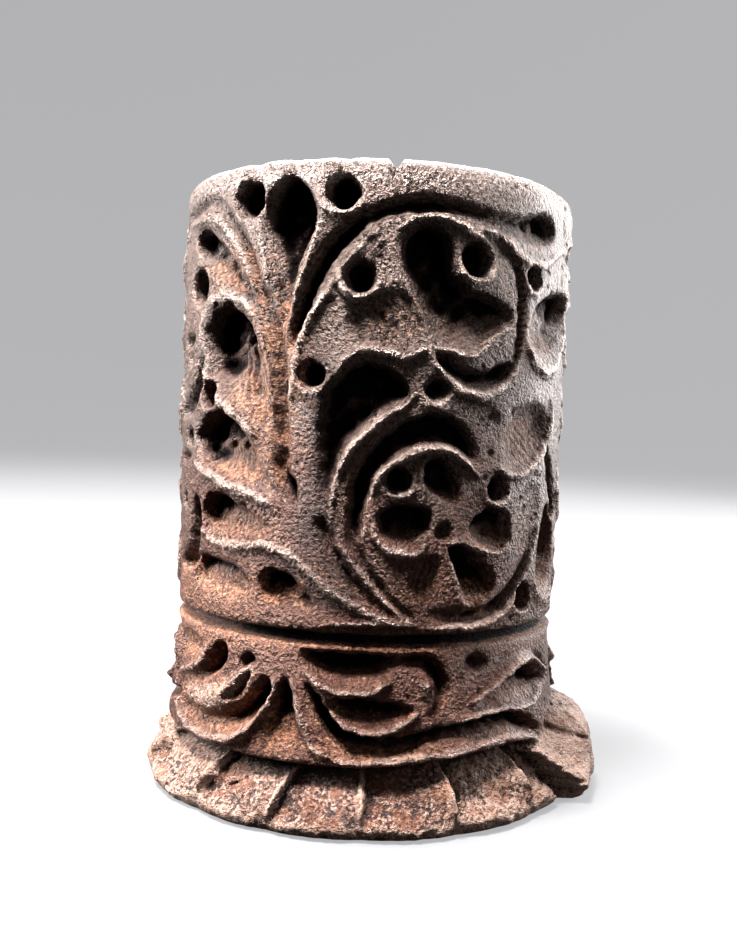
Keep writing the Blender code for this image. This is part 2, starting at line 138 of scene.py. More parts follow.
def smooth_line(points, closed=False, steps=6):
    """Points along a Catmull-Rom curve through the given ones, with all that each of them carries."""
    p = np.array(points, float)
    p = np.vstack([p[-1], p, p[0], p[1]]) if closed else np.vstack([2 * p[0] - p[1], p, 2 * p[-1] - p[-2]])
    t = np.arange(steps)[:, None] / steps
    runs = []
    for a, b, c, d in zip(p, p[1:], p[2:], p[3:]):
        bend = (2 * a - 5 * b + 4 * c - d) * t**2
        twist = (3 * b - a - 3 * c + d) * t**3
        runs.append(0.5 * (2 * b + (c - a) * t + bend + twist))
    return np.vstack(runs) if closed else np.vstack([*runs, p[-2:-1]])


def wobble(s, z, size, seed, waves=16):
    """A smooth unevenness of about 1 either way with bumps of a size, unbroken round the body."""
    draw = np.random.default_rng(seed)
    total = np.zeros(s.shape)
    for _ in range(waves):
        heading, wave = draw.uniform(0, 2 * math.pi), size * draw.uniform(0.6, 1.7)
        turns = round(GIRTH * math.cos(heading) / wave)
        total += np.sin(2 * math.pi * (turns * s / GIRTH + z * math.sin(heading) / wave) + draw.uniform(0, 7))
    return total / math.sqrt(waves / 2) / 1.6


NARROW_FADE = 0.7  # how much shallower a stroke is where it narrows


def stroke(s, z, line, power):
    """1 along the middle of a line of (s, z, half width), and 0 at its edges."""
    best = np.zeros(s.shape)
    for (ax, az, aw), (bx, bz, bw) in zip(line, line[1:]):
        dx, dz = bx - ax, bz - az
        t = np.clip(((s - ax) * dx + (z - az) * dz) / max(dx * dx + dz * dz, 1e-12), 0, 1)
        half = np.maximum(aw + t * (bw - aw), 1e-3)
        away = np.clip(np.hypot(s - ax - t * dx, z - az - t * dz) / half, 0, 1)
        best = np.maximum(best, (1 - away**power) * np.minimum(half / line[:, 2].max(), 1) ** NARROW_FADE)
    return best


def break_angle(z):
    """Where the middle of the gap runs, from the underside to the top of the foot."""
    return BREAK_ANGLE - BREAK_LEAN * np.clip(z / FOOT_TOP, 0, 1) ** 2


def foot_reach(angle, z, neck):
    """The foot's radius at a height, its share of rib and of edge, and its share of bent piece."""
    around = np.radians(angle) * RADIUS
    start = break_angle(z) + BENT_SHOULDER * ramp(z, 0.9 * FOOT_TOP, FOOT_TOP + 0.6 * BENT_RISE)
    bent = ramp(angle, start - BENT_START, start + BENT_START) * (1 - ramp(angle, BENT_EASING, BENT_TO))
    top = neck - FOOT_BELOW_NECK + BENT_RISE * bent
    edge = RADIUS + FOOT_SPREAD + BENT_REACH * bent
    ragged = wobble(around, 0 * z, 2.4, 31) + 0.6 * wobble(around, 0 * z, 1.1, 32)
    widest = FOOT_EDGE_HEIGHT + BENT_LIFT * bent + EDGE_UNEVENNESS * ragged
    up = np.clip((z - widest) / (top - widest), 0, 1)
    fuller = ramp(angle, BREAK_ANGLE, BREAK_ANGLE + WEDGE_REACH)
    bulge = FOOT_BULGE + bent * (BENT_BULGE * fuller - WEDGE_THINNING * (1 - fuller))
    face = edge + (RADIUS - FOOT_INSET * (1 - bent) - edge) * up**bulge
    under = np.sqrt(np.clip(1 - (1 - z / widest) ** 2, 0, 1))
    face = np.where(z < widest, edge - (FOOT_UNDERCUT + BENT_UNDERCUT * bent) * (1 - under), face)

    # Which petal each point is on, and how far across it.
    leaning = angle - np.interp(angle, RIBS, RIB_LEANS) * (1 - np.clip(z / FOOT_TOP, 0, 1))
    turned = np.array(RIBS + (RIBS[0] + 360.0,))
    wrapped = (leaning - turned[0]) % 360 + turned[0]
    petal = np.clip(np.searchsorted(turned, wrapped, side="right") - 1, 0, len(RIBS) - 1)
    share = (wrapped - turned[petal]) / (turned[petal + 1] - turned[petal])
    skew = np.array(PETAL_SKEW)[petal]
    dish = ramp(share, 0.0, PETAL_BORDER) * ramp(1 - share, 0.0, PETAL_BORDER)
    dish = dish * (1 + PETAL_TILT * skew * (share - 0.5))
    face = face - PETAL_DISH * dish * ramp(up, -0.02, 0.40) * (1 - 0.6 * bent)
    face = face - TUCK * ramp(up, 0.45, 0.95) * (1 - bent)
    lobe = np.sin(math.pi * share) ** LOBE_CURVE
    face = face + SCALLOP * (lobe - 0.6) * (1 - up) * under
    rib = 1 - ramp(np.minimum(share, 1 - share) * PETAL_DEGREES, *RIB_SLOPE)
    face = face + RIB_HEIGHT * rib * np.sin(math.pi * up) * (1 - bent)
    for depth, line in FOOT_CRACKS:
        crack = smooth_line([(math.radians(a) * RADIUS, h, w) for a, h, w in line])
        face = face - depth * stroke(around, z, crack, 2.0)
    nearest = np.where(share < 0.5, petal, (petal + 1) % len(RIBS))
    shine = 1 + np.array(RIB_SHINE)[nearest] * ramp(up, 0.25, 0.5)
    at_edge = np.exp(-(((z - EDGE_LINE * widest) / EDGE_LINE_WIDTH) ** 2))
    return np.where(z < top, face, 0), rib * (1 - bent) * shine, at_edge, bent


def in_gap(angle, z):
    """1 inside the gap that the break left and 0 outside it, and the same for its faces, which get painted
    shade.
    """
    up = z / FOOT_TOP
    half_width = BREAK_HALF_WIDTH * (1 - BREAK_CLOSING * np.clip(up, 0, 1))
    ragged = 0.45 * np.sin(5.3 * z) + 0.30 * np.sin(11.0 * z + 1.0) + 0.18 * np.sin(23.0 * z)
    beyond = angle - break_angle(z) + ragged
    off = np.abs(beyond)
    rounded = np.where(beyond > 0, BREAK_ROUNDING, 0)
    below = 1 - ramp(z, FOOT_TOP - 0.5, FOOT_TOP + 0.3)
    gap = (1 - ramp(off, 0.75 * half_width - 0.3 * rounded, half_width + rounded)) * below
    return gap, (1 - ramp(off, 0.55 * half_width, 0.7 * half_width + 0.8)) * below


# The scroll of the main field: a flower and a comma in a leaf, a medallion in its ring, and a run of leaves
# down the left. It was cut into the cast side with gravers, and the eyes were drilled.
# Its hollows: depth, then the corners of the outline as (s, z, wall). The floor is reached one wall's width
# in from the edge, so a small wall is a steep side and a large one a ramp.
FIELD_HOLLOWS = {
    "left leaf 1": (1.6, (
        (-18.6, 46.5, 0.4), (-17.4, 47.4, 0.4), (-16, 47, 0.4), (-14.5, 46.1, 0.5), (-13, 45, 0.5),
        (-11.5, 43.5, 0.5), (-10.3, 42.1, 0.5), (-9.3, 40.7, 0.6), (-10.4, 40.8, 0.9), (-12, 41.8, 1.2),
        (-14, 43.0, 1.5), (-16, 44.1, 1.6), (-18, 45.1, 1.0),
    )),
    "left leaf 2": (2.3, (
        (-15.8, 38.2, 0.4), (-15.4, 39.5, 0.35), (-14.5, 40.4, 0.35), (-13.2, 40.7, 0.4), (-11.8, 40.4, 0.8),
        (-10.6, 39.6, 1.1), (-9.8, 38.4, 1.4), (-9.2, 36.9, 1.8), (-8.6, 35.2, 2.2), (-8.1, 33.4, 2.6),
        (-7.7, 31.4, 2.6), (-8.6, 30.7, 2.4), (-10.2, 31.9, 3.4), (-12, 32.9, 3.4), (-13.6, 34.2, 1.6),
        (-14.8, 35.5, 0.6), (-15.5, 36.9, 0.45),
    )),
    "left leaf 2, head": (2.9, (
        (-15.8, 38.2, 0.5), (-15.4, 39.5, 0.4), (-14.5, 40.4, 0.4), (-13.5, 40.5, 0.8), (-12.9, 39.4, 2.0),
        (-13, 37.8, 2.2), (-13.4, 36.2, 2.0), (-14, 35, 1.2), (-14.9, 35.5, 0.6), (-15.5, 36.9, 0.5),
    )),
    "left leaf 3": (2.1, (
        (-17.2, 30.2, 0.4), (-16.8, 31.1, 0.35), (-15.7, 31.8, 0.35), (-14.3, 32.4, 0.35), (-13, 32.3, 0.5),
        (-11.8, 31.6, 0.8), (-10.7, 30.8, 1.1), (-9.9, 29.8, 1.4), (-9.1, 28.8, 1.7), (-8.3, 27.6, 2.0),
        (-7.4, 26.6, 2.0), (-6.7, 26.1, 1.6), (-8.2, 25.9, 2.4), (-10, 26.5, 3.0), (-12, 26.9, 3.2),
        (-13.8, 27.3, 2.0), (-15.3, 28, 0.9), (-16.6, 29, 0.5),
    )),
    "left leaf 3, head": (2.6, (
        (-17.2, 30.2, 0.5), (-16.8, 31.1, 0.4), (-15.7, 31.8, 0.4), (-14.3, 32.3, 0.6), (-13.6, 31.7, 1.4),
        (-13.8, 30.4, 1.9), (-14.6, 29.2, 1.9), (-15.5, 28.4, 1.1), (-16.5, 29, 0.5),
    )),
    "left leaf 4, head": (2.4, (
        (-15.9, 24, 0.5), (-15.5, 25, 0.4), (-14.5, 25.6, 0.4), (-13.4, 25.6, 0.6), (-12.8, 24.8, 1.4),
        (-13.4, 23.8, 1.8), (-14.6, 23.2, 0.9),
    )),
    "left leaf 4": (1.8, (
        (-16, 24.1, 0.4), (-15.5, 25, 0.4), (-14.4, 25.6, 0.4), (-13.2, 25.7, 0.4), (-12, 25.3, 0.8),
        (-10.8, 25, 1.2), (-9.8, 24.6, 1.6), (-8.8, 24, 1.8), (-7.9, 23.4, 1.4), (-8.6, 22.6, 2),
        (-10.2, 22.4, 2.4), (-12.2, 22.3, 2.4), (-14, 22.5, 1.4), (-15.4, 23.1, 0.6),
    )),
    "left leaf 5": (1.6, (
        (-17, 19.7, 0.5), (-16.2, 20.4, 0.4), (-14.6, 20.4, 0.4), (-13, 20.2, 0.4), (-11.5, 20, 0.4),
        (-10.2, 19.3, 0.6), (-9.8, 18, 1), (-11.2, 16.9, 2.6), (-13.4, 16.8, 3.2), (-15.6, 17.2, 3.2),
        (-17.2, 18.2, 1.6),
    )),
    "low left leaf": (1.6, (
        (-8.8, 19.2, 0.4), (-8.1, 20, 0.35), (-6.8, 20, 0.4), (-5.5, 19.4, 0.5), (-4.2, 18.3, 0.8),
        (-3.2, 17.3, 1.2), (-5, 17, 2.4), (-7, 16.9, 2.6), (-8.6, 17.6, 1),
    )),
    "left gouge": (2.8, (
        (-16.8, 24.9, 0.5), (-16.3, 23.4, 0.4), (-16.6, 21.5, 0.4), (-17.2, 19.5, 0.4), (-18.6, 18.8, 0.6),
        (-20.4, 18.8, 0.6), (-21.4, 19.2, 0.5), (-19.8, 20.4, 1.4), (-18.7, 22, 1.6), (-18.2, 24, 1.4),
        (-17.6, 25.2, 0.8),
    )),
    "far left lens": (1.2, (
        (-21.2, 38, 0.4), (-20.2, 38.8, 0.4), (-18.4, 38.6, 0.4), (-18.8, 38, 0.6), (-20.2, 37.5, 0.9),
    )),
    "far left slit": (1.0, (
        (-21.6, 28.2, 0.4), (-20, 28.9, 0.4), (-18.6, 28.6, 0.4), (-19.6, 28, 0.6), (-21, 27.7, 0.6),
    )),
    "tall drop": (2.35, (
        (-8, 50.1, 0.5), (-7, 50.6, 0.5), (-6, 50.1, 0.5), (-5.2, 49, 0.6), (-4.8, 47.7, 0.6),
        (-5.1, 46.2, 0.8), (-5.7, 44.6, 1.1), (-6.2, 42.8, 1.4), (-6.5, 41, 1.5), (-6.8, 39.2, 1.5),
        (-7.1, 37.4, 1.2), (-7.7, 38.8, 1.5), (-8.2, 41, 1.6), (-8.5, 43.4, 1.6), (-8.9, 45.4, 1.1),
        (-9.4, 47, 0.6), (-9.3, 48.4, 0.5), (-8.8, 49.4, 0.5),
    )),
    "rim channel": (1.6, (
        (1.6, 48.6, 0.3), (3, 49.0, 0.35), (5, 49.1, 0.35), (7, 48.85, 0.4), (9, 48.6, 0.4), (11, 48.5, 0.4),
        (13, 48.7, 0.5), (14.6, 49.2, 0.6), (16.2, 49.4, 0.7), (17.4, 48.9, 0.7), (17.9, 48, 0.8),
        (17, 47, 1.3), (15.4, 46.5, 1.9), (13.6, 46.4, 2.2), (12, 46.8, 2.2), (10, 47.3, 1.8),
        (8, 47.7, 1.2), (6, 48, 0.9), (4, 48, 0.8), (2.4, 47.9, 0.6),
    )),
    "flower, high and right lobes": (2.6, (
        (2.0, 44.6, 1.0), (2.2, 45.8, 0.6), (2.9, 46.7, 0.4), (3.9, 47.1, 0.4), (4.9, 46.9, 0.4),
        (5.7, 46, 0.4), (6, 44.8, 0.4), (6.2, 43.6, 0.4), (6.9, 42.7, 0.4), (8.2, 42.2, 0.4),
        (9.6, 41.9, 0.4), (10.9, 41.4, 0.4), (11.7, 40.7, 0.4), (10.7, 39.9, 1.8), (9.5, 39.1, 2.4),
        (8.5, 38.3, 2.8), (7.2, 37.9, 3.2), (5.8, 37.8, 3.2), (4.6, 38.1, 2.8), (3.8, 39.4, 2.6),
        (3.2, 40.8, 2.4), (2.7, 42.2, 2.0), (2.2, 43.4, 1.4),
    )),
    "flower, left lobe": (0.6, (
        (-2.5, 39.6, 1.0), (-1.8, 40.9, 1.2), (-0.6, 41.6, 1.4), (1, 42.2, 1.6), (2.4, 42.2, 1.6),
        (3.4, 41, 1.4), (4, 38.8, 0.8), (3.2, 37.7, 0.6), (1.6, 37.6, 0.6), (0, 38, 0.6), (-1.4, 38.4, 0.7),
    )),
    "crescent": (1.9, (
        (4.7, 37.4, 0.35), (5.7, 37.1, 0.35), (6.8, 36.5, 0.35), (8.2, 36.2, 0.35), (9.6, 36.3, 0.35),
        (11, 36.8, 0.35), (12.1, 36.9, 0.4), (11.6, 36, 0.7), (10.4, 35.3, 0.8), (8.8, 34.9, 0.8),
        (7.4, 35, 0.8), (6.2, 35.7, 0.7), (5.2, 36.6, 0.6),
    )),
    "comma": (2.3, (
        (-3.7, 33.8, 0.5), (-2.9, 35.2, 0.45), (-1.7, 36.2, 0.4), (-0.2, 36.4, 0.4), (1.2, 36, 0.4),
        (2.3, 35.2, 0.45), (2.8, 34.2, 0.6), (1.9, 33.5, 1), (0.8, 32.8, 1.2), (-0.2, 31.8, 1.2),
        (-1.2, 30.7, 1.2), (-2, 29.5, 1.2), (-2.6, 28, 1.2), (-2.9, 26.4, 1.2), (-3.3, 24.6, 1),
        (-3.9, 26.6, 1.1), (-4.1, 29, 1), (-4.1, 31.4, 0.7),
    )),
    "ring round the medallion": (2.1, (
        (-1.7, 24.6, 0.6), (-1.6, 26.4, 0.6), (-1.2, 28, 0.5), (-0.4, 29.4, 0.45), (0.7, 30.6, 0.4),
        (2, 31.6, 0.4), (3.3, 32.3, 0.4), (4.7, 32.7, 0.4), (6.1, 32.5, 0.4), (7.3, 31.8, 0.4),
        (8.2, 30.7, 0.4), (9, 29, 0.5), (8.4, 29.3, 0.6), (7.4, 30, 0.6), (6.2, 30.5, 0.6),
        (4.8, 30.6, 0.6), (3.4, 30.3, 0.6), (2.2, 29.8, 0.6), (1.2, 28.9, 0.6), (0.4, 27.6, 0.6),
        (0, 26.2, 0.6), (-0.3, 24.6, 0.6), (-0.5, 23, 0.5), (-1.2, 23, 0.5),
    )),
    "medallion, high petal": (1.9, (
        (4.4, 27.3, 0.35), (4.3, 28.5, 0.35), (4.9, 29.3, 0.35), (5.8, 29.3, 0.35), (6.5, 28.6, 0.35),
        (7, 27.6, 0.35), (7.3, 26.5, 0.35), (6.8, 25.9, 0.7), (6, 26.1, 0.9), (5.2, 26.5, 0.7),
    )),
    "medallion, left petal": (2.1, (
        (0.8, 24.1, 0.4), (0.9, 24.9, 0.35), (1.7, 25.5, 0.35), (2.8, 25.7, 0.35), (3.9, 25.6, 0.35),
        (4.8, 25, 0.4), (4.9, 24.1, 0.5), (4.3, 23.3, 0.8), (3.4, 22.5, 1.4), (2.2, 22.4, 1.5), (1.3, 23, 1),
    )),
    "medallion, right petal": (1.8, (
        (8.3, 23.8, 0.6), (9, 24.8, 0.4), (10.2, 25.4, 0.35), (11.4, 25.3, 0.35), (12.2, 24.6, 0.5),
        (12.5, 23.2, 1.2), (11.8, 22.0, 2.4), (10, 22.2, 2.6), (8.8, 23, 1.8),
    )),
    "medallion, low right petal": (2.0, (
        (6.5, 22.1, 0.4), (7.5, 22.5, 0.35), (8.6, 21.9, 0.35), (9.6, 21.1, 0.35), (10.4, 20.3, 0.35),
        (10.9, 19.3, 0.5), (10.2, 18.2, 2.0), (8.8, 17.9, 2.8), (7.9, 18.6, 2.0), (7.5, 19.8, 1.1),
        (7.1, 21, 0.5),
    )),
    "medallion, low left petal": (0.8, (
        (5.6, 21.8, 0.6), (4.3, 21.4, 0.6), (3.4, 20.2, 0.6), (3.3, 18.9, 0.7), (4.3, 18.3, 0.9),
        (5.4, 18.6, 0.9), (5.9, 20.2, 0.7),
    )),
    "right leaf 1": (1.5, (
        (14.1, 40.2, 0.8), (14.8, 41.5, 0.5), (16.2, 42.4, 0.4), (18, 43.1, 0.4), (20, 43.3, 0.4),
        (21.4, 42.8, 0.5), (21.2, 40.8, 1.4), (20, 39, 1.8), (18.4, 37.6, 2.4), (16.6, 37, 2.8),
        (15, 37.6, 2.2), (14.2, 38.8, 1.2),
    )),
    "right leaf 2": (0.85, (
        (11.2, 30.6, 1.8), (11.6, 32, 1.7), (12.6, 33.2, 1.5), (14, 33.9, 1.3), (15.8, 34, 1.1),
        (17.2, 33.4, 1.0), (17.9, 32, 1.2), (16.8, 30.4, 1.8), (15.2, 29.2, 2.6), (13.4, 28.4, 2.6),
        (11.8, 28.8, 2.0),
    )),
    "right gouge": (1.8, (
        (18.2, 25.2, 0.5), (17.5, 23.4, 0.4), (17, 21.2, 0.4), (17.1, 19.2, 0.4), (18, 18, 0.8),
        (19.6, 17.9, 1.6), (21.2, 18.6, 2), (21.6, 20.6, 1.4), (21, 23, 0.8), (19.6, 25.2, 0.6),
    )),
    "right dent": (0.22, (
        (13.6, 26.4, 0.6), (14.8, 27.4, 0.6), (16.4, 27.2, 0.6), (17, 25.2, 0.8), (16.2, 22.6, 1),
        (14.6, 21.6, 1), (13.2, 22.4, 0.8), (13, 24.6, 0.8),
    )),
    "dent over the ring": (0.28, (
        (7.2, 33.7, 0.5), (8.6, 34, 0.5), (10.2, 33.4, 0.5), (11.2, 32.2, 0.6), (9.8, 31.8, 0.8),
        (8.4, 32.4, 0.7),
    )),
}
# Where the graver broke out at a leaf's edge: rows of short tapering teeth, as (first root, last root, how
# many, reach of a tooth, depth).
TEETH = (
    ((-14.9, 35.6), (-15.7, 39.0), 9, (-0.95, -0.35), 1.9),
    ((-15.3, 39.6), (-12.6, 40.7), 7, (-0.30, 0.50), 1.6),
    ((-11.4, 40.2), (-9.2, 37.0), 6, (0.50, 0.25), 0.7),
    ((-15.7, 28.3), (-17.1, 30.4), 7, (-0.75, -0.30), 1.7),
    ((-16.8, 31.0), (-13.0, 32.3), 8, (-0.30, 0.50), 1.5),
    ((-12.0, 31.6), (-9.6, 29.4), 5, (0.45, 0.30), 0.7),
    ((-15.0, 25.4), (-10.6, 25.0), 7, (-0.15, 0.55), 1.2),
    ((-15.6, 22.7), (-12.4, 21.9), 6, (-0.75, -0.45), 0.7),
    ((6.9, 26.5), (6.5, 28.7), 4, (0.55, 0.20), 1.2),
    ((8.3, 21.9), (10.6, 19.9), 5, (0.75, 0.35), 1.3),
    ((12.0, 24.8), (12.3, 23.0), 4, (0.70, -0.10), 0.9),
    ((15.0, 41.5), (19.0, 43.1), 6, (-0.20, 0.55), 1.0),
    ((12.4, 33.1), (16.8, 33.6), 6, (0.10, 0.55), 0.6),
)
# Chatter of the graver: patches of fine close ridges, as (s, z, half width, half height, the heading across
# the ridges in degrees, pitch, strength).
COMBS = (
    (-10.4, 36.0, 2.6, 3.4, 17, 0.52, 1.0), (-11.6, 29.4, 2.8, 2.4, 17, 0.52, 0.7),
    (-12.6, 24.0, 3.0, 1.6, 20, 0.50, 0.5), (-13.2, 43.7, 3.6, 2.0, 27, 0.50, 0.8),
    (9.9, 38.9, 1.6, 1.3, 118, 0.50, 1.0), (1.7, 39.9, 2.8, 2.0, 36, 0.80, 0.8),
    (6.6, 39.4, 1.9, 1.3, 112, 0.60, 0.5), (12.7, 40.6, 0.9, 4.4, 96, 0.50, 0.8),
    (14.7, 24.2, 2.2, 3.4, 135, 0.85, 0.8), (8.9, 18.9, 1.9, 1.5, 27, 0.55, 0.7),
    (4.4, 19.6, 1.5, 1.9, -17, 0.60, 0.6), (-1.3, 26.4, 1.2, 3.4, 96, 0.55, 0.35),
    (10.8, 22.7, 2.0, 1.2, 78, 0.50, 0.7), (-7.4, 35.4, 1.1, 6.0, -6, 0.48, 0.7),
    (15.8, 38.9, 2.4, 2.4, 60, 0.60, 0.5), (14.2, 30.4, 2.8, 2.2, 45, 0.65, 0.5),
    (-13.8, 22.2, 2.6, 0.9, 30, 0.55, 0.8), (-6.6, 44.6, 1.6, 3.4, 4, 0.55, 0.4),
    (14.4, 10.6, 3.6, 1.6, 12, 0.60, 0.35), (-13.5, 8.6, 5.0, 2.2, 40, 0.55, 0.30),
    (-6.2, 7.4, 1.6, 2.0, 4, 0.50, 0.4),
)
# Grooves of the main field: depth, then the line as (s, z, half width).
FIELD_GROOVES = (
    (1.0, ((-9.0, 42.2, 0.3), (-8.4, 40.4, 0.5), (-7.8, 38.2, 0.6), (-7.4, 35.6, 0.7), (-7.2, 32.8, 0.75),
           (-7.1, 30.2, 0.7), (-6.8, 28, 0.5), (-6.2, 25.8, 0.3))),
    (0.65, ((-21.5, 48.8, 0.3), (-19, 49, 0.5), (-16, 49.5, 0.5), (-14, 48.6, 0.5), (-12.5, 47.2, 0.55),
            (-11, 45.4, 0.5), (-10.2, 43.6, 0.5), (-9.5, 41.8, 0.5), (-8.9, 40, 0.5), (-8, 36.6, 0.4))),
    (1.9, ((-1.2, 47.3, 0.5), (-2.3, 46.2, 0.65), (-3.6, 44.8, 0.68), (-4.5, 43.3, 0.64), (-5.2, 41.8, 0.58),
           (-5.8, 40.2, 0.5), (-6.3, 38.6, 0.36), (-6.5, 37.2, 0.1))),
    (1.2, ((-1.8, 46.8, 0.4), (-0.4, 47.6, 0.5), (1.2, 48.2, 0.5), (3, 48.6, 0.5), (5, 48.6, 0.4))),
    (1.2, ((-16.9, 36.8, 0.3), (-17.1, 35.2, 0.55), (-17.8, 33.9, 0.8), (-19, 32.9, 0.9), (-21, 32.2, 0.5))),
    (0.9, ((-1.2, 24, 0.6), (-1, 22.4, 0.5), (-0.2, 20.9, 0.42), (0.9, 19.4, 0.36), (2.2, 18, 0.3),
           (3.8, 16.8, 0.2))),
    (0.5, ((-3.6, 24, 0.6), (-2.7, 21.8, 0.6), (-1.6, 20.2, 0.5), (0, 18.7, 0.4), (2, 17.2, 0.25))),
    (1.0, ((5.2, 17.2, 0.2), (7, 16.95, 0.5), (9, 16.9, 0.6), (11, 17.3, 0.65), (12.8, 18.5, 0.6),
           (14.2, 20, 0.5), (15.3, 21.6, 0.25))),
    (1.3, ((17.7, 30.4, 0.3), (18.8, 28.2, 0.7), (19.8, 26.6, 0.8), (20.9, 24.6, 0.5))),
    (0.55, ((10.3, 45.9, 0.25), (11.8, 45, 0.4), (12.5, 43.6, 0.45), (12.9, 41.6, 0.5), (12.9, 39.6, 0.5),
            (12.5, 37.8, 0.4), (12.1, 36.8, 0.2))),
    (1.4, ((-7.6, 28.9, 0.25), (-6.9, 27.7, 0.6), (-6.2, 26.5, 0.55), (-5.9, 25.4, 0.2))),
    (0.7, ((1.3, 52.4, 0.6), (1.3, 51, 0.45), (1.5, 49.8, 0.35), (1.7, 48.6, 0.2))),
    (0.35, ((22.4, 47.4, 0.4), (22, 45.2, 0.7), (22.4, 43.6, 0.4))),
)
# Drilled eyes of the main field: (s, z, radius, depth, height of the lip pushed up under it).
FIELD_EYES = (
    (-10.9, 49.1, 1.42, 2.0, 0.10), (-2.75, 49.3, 1.25, 2.2, 0.30), (-1.25, 42.9, 1.12, 2.2, 0.30),
    (8.05, 44.75, 1.25, 2.2, 0.30), (-4.75, 35.4, 0.95, 2.0, 0.18), (5.0, 34.65, 0.8, 1.4, 0.20),
    (14.4, 44.0, 0.85, 1.7, 0.20), (-17.6, 42.6, 1.5, 2.0, 0.0), (-15.3, 33.7, 1.05, 1.9, 0.10),
    (-19.2, 36.7, 0.55, 0.5, 0.0), (-19.1, 30.1, 0.75, 1.3, 0.0), (-20.3, 24.6, 0.7, 0.9, 0.0),
    (2.25, 27.6, 0.9, 1.8, 0.22), (10.95, 26.95, 0.9, 1.7, 0.22), (14.75, 18.0, 1.0, 1.9, 0.12),
    (6.0, 23.7, 0.55, 1.0, 0.0),
)
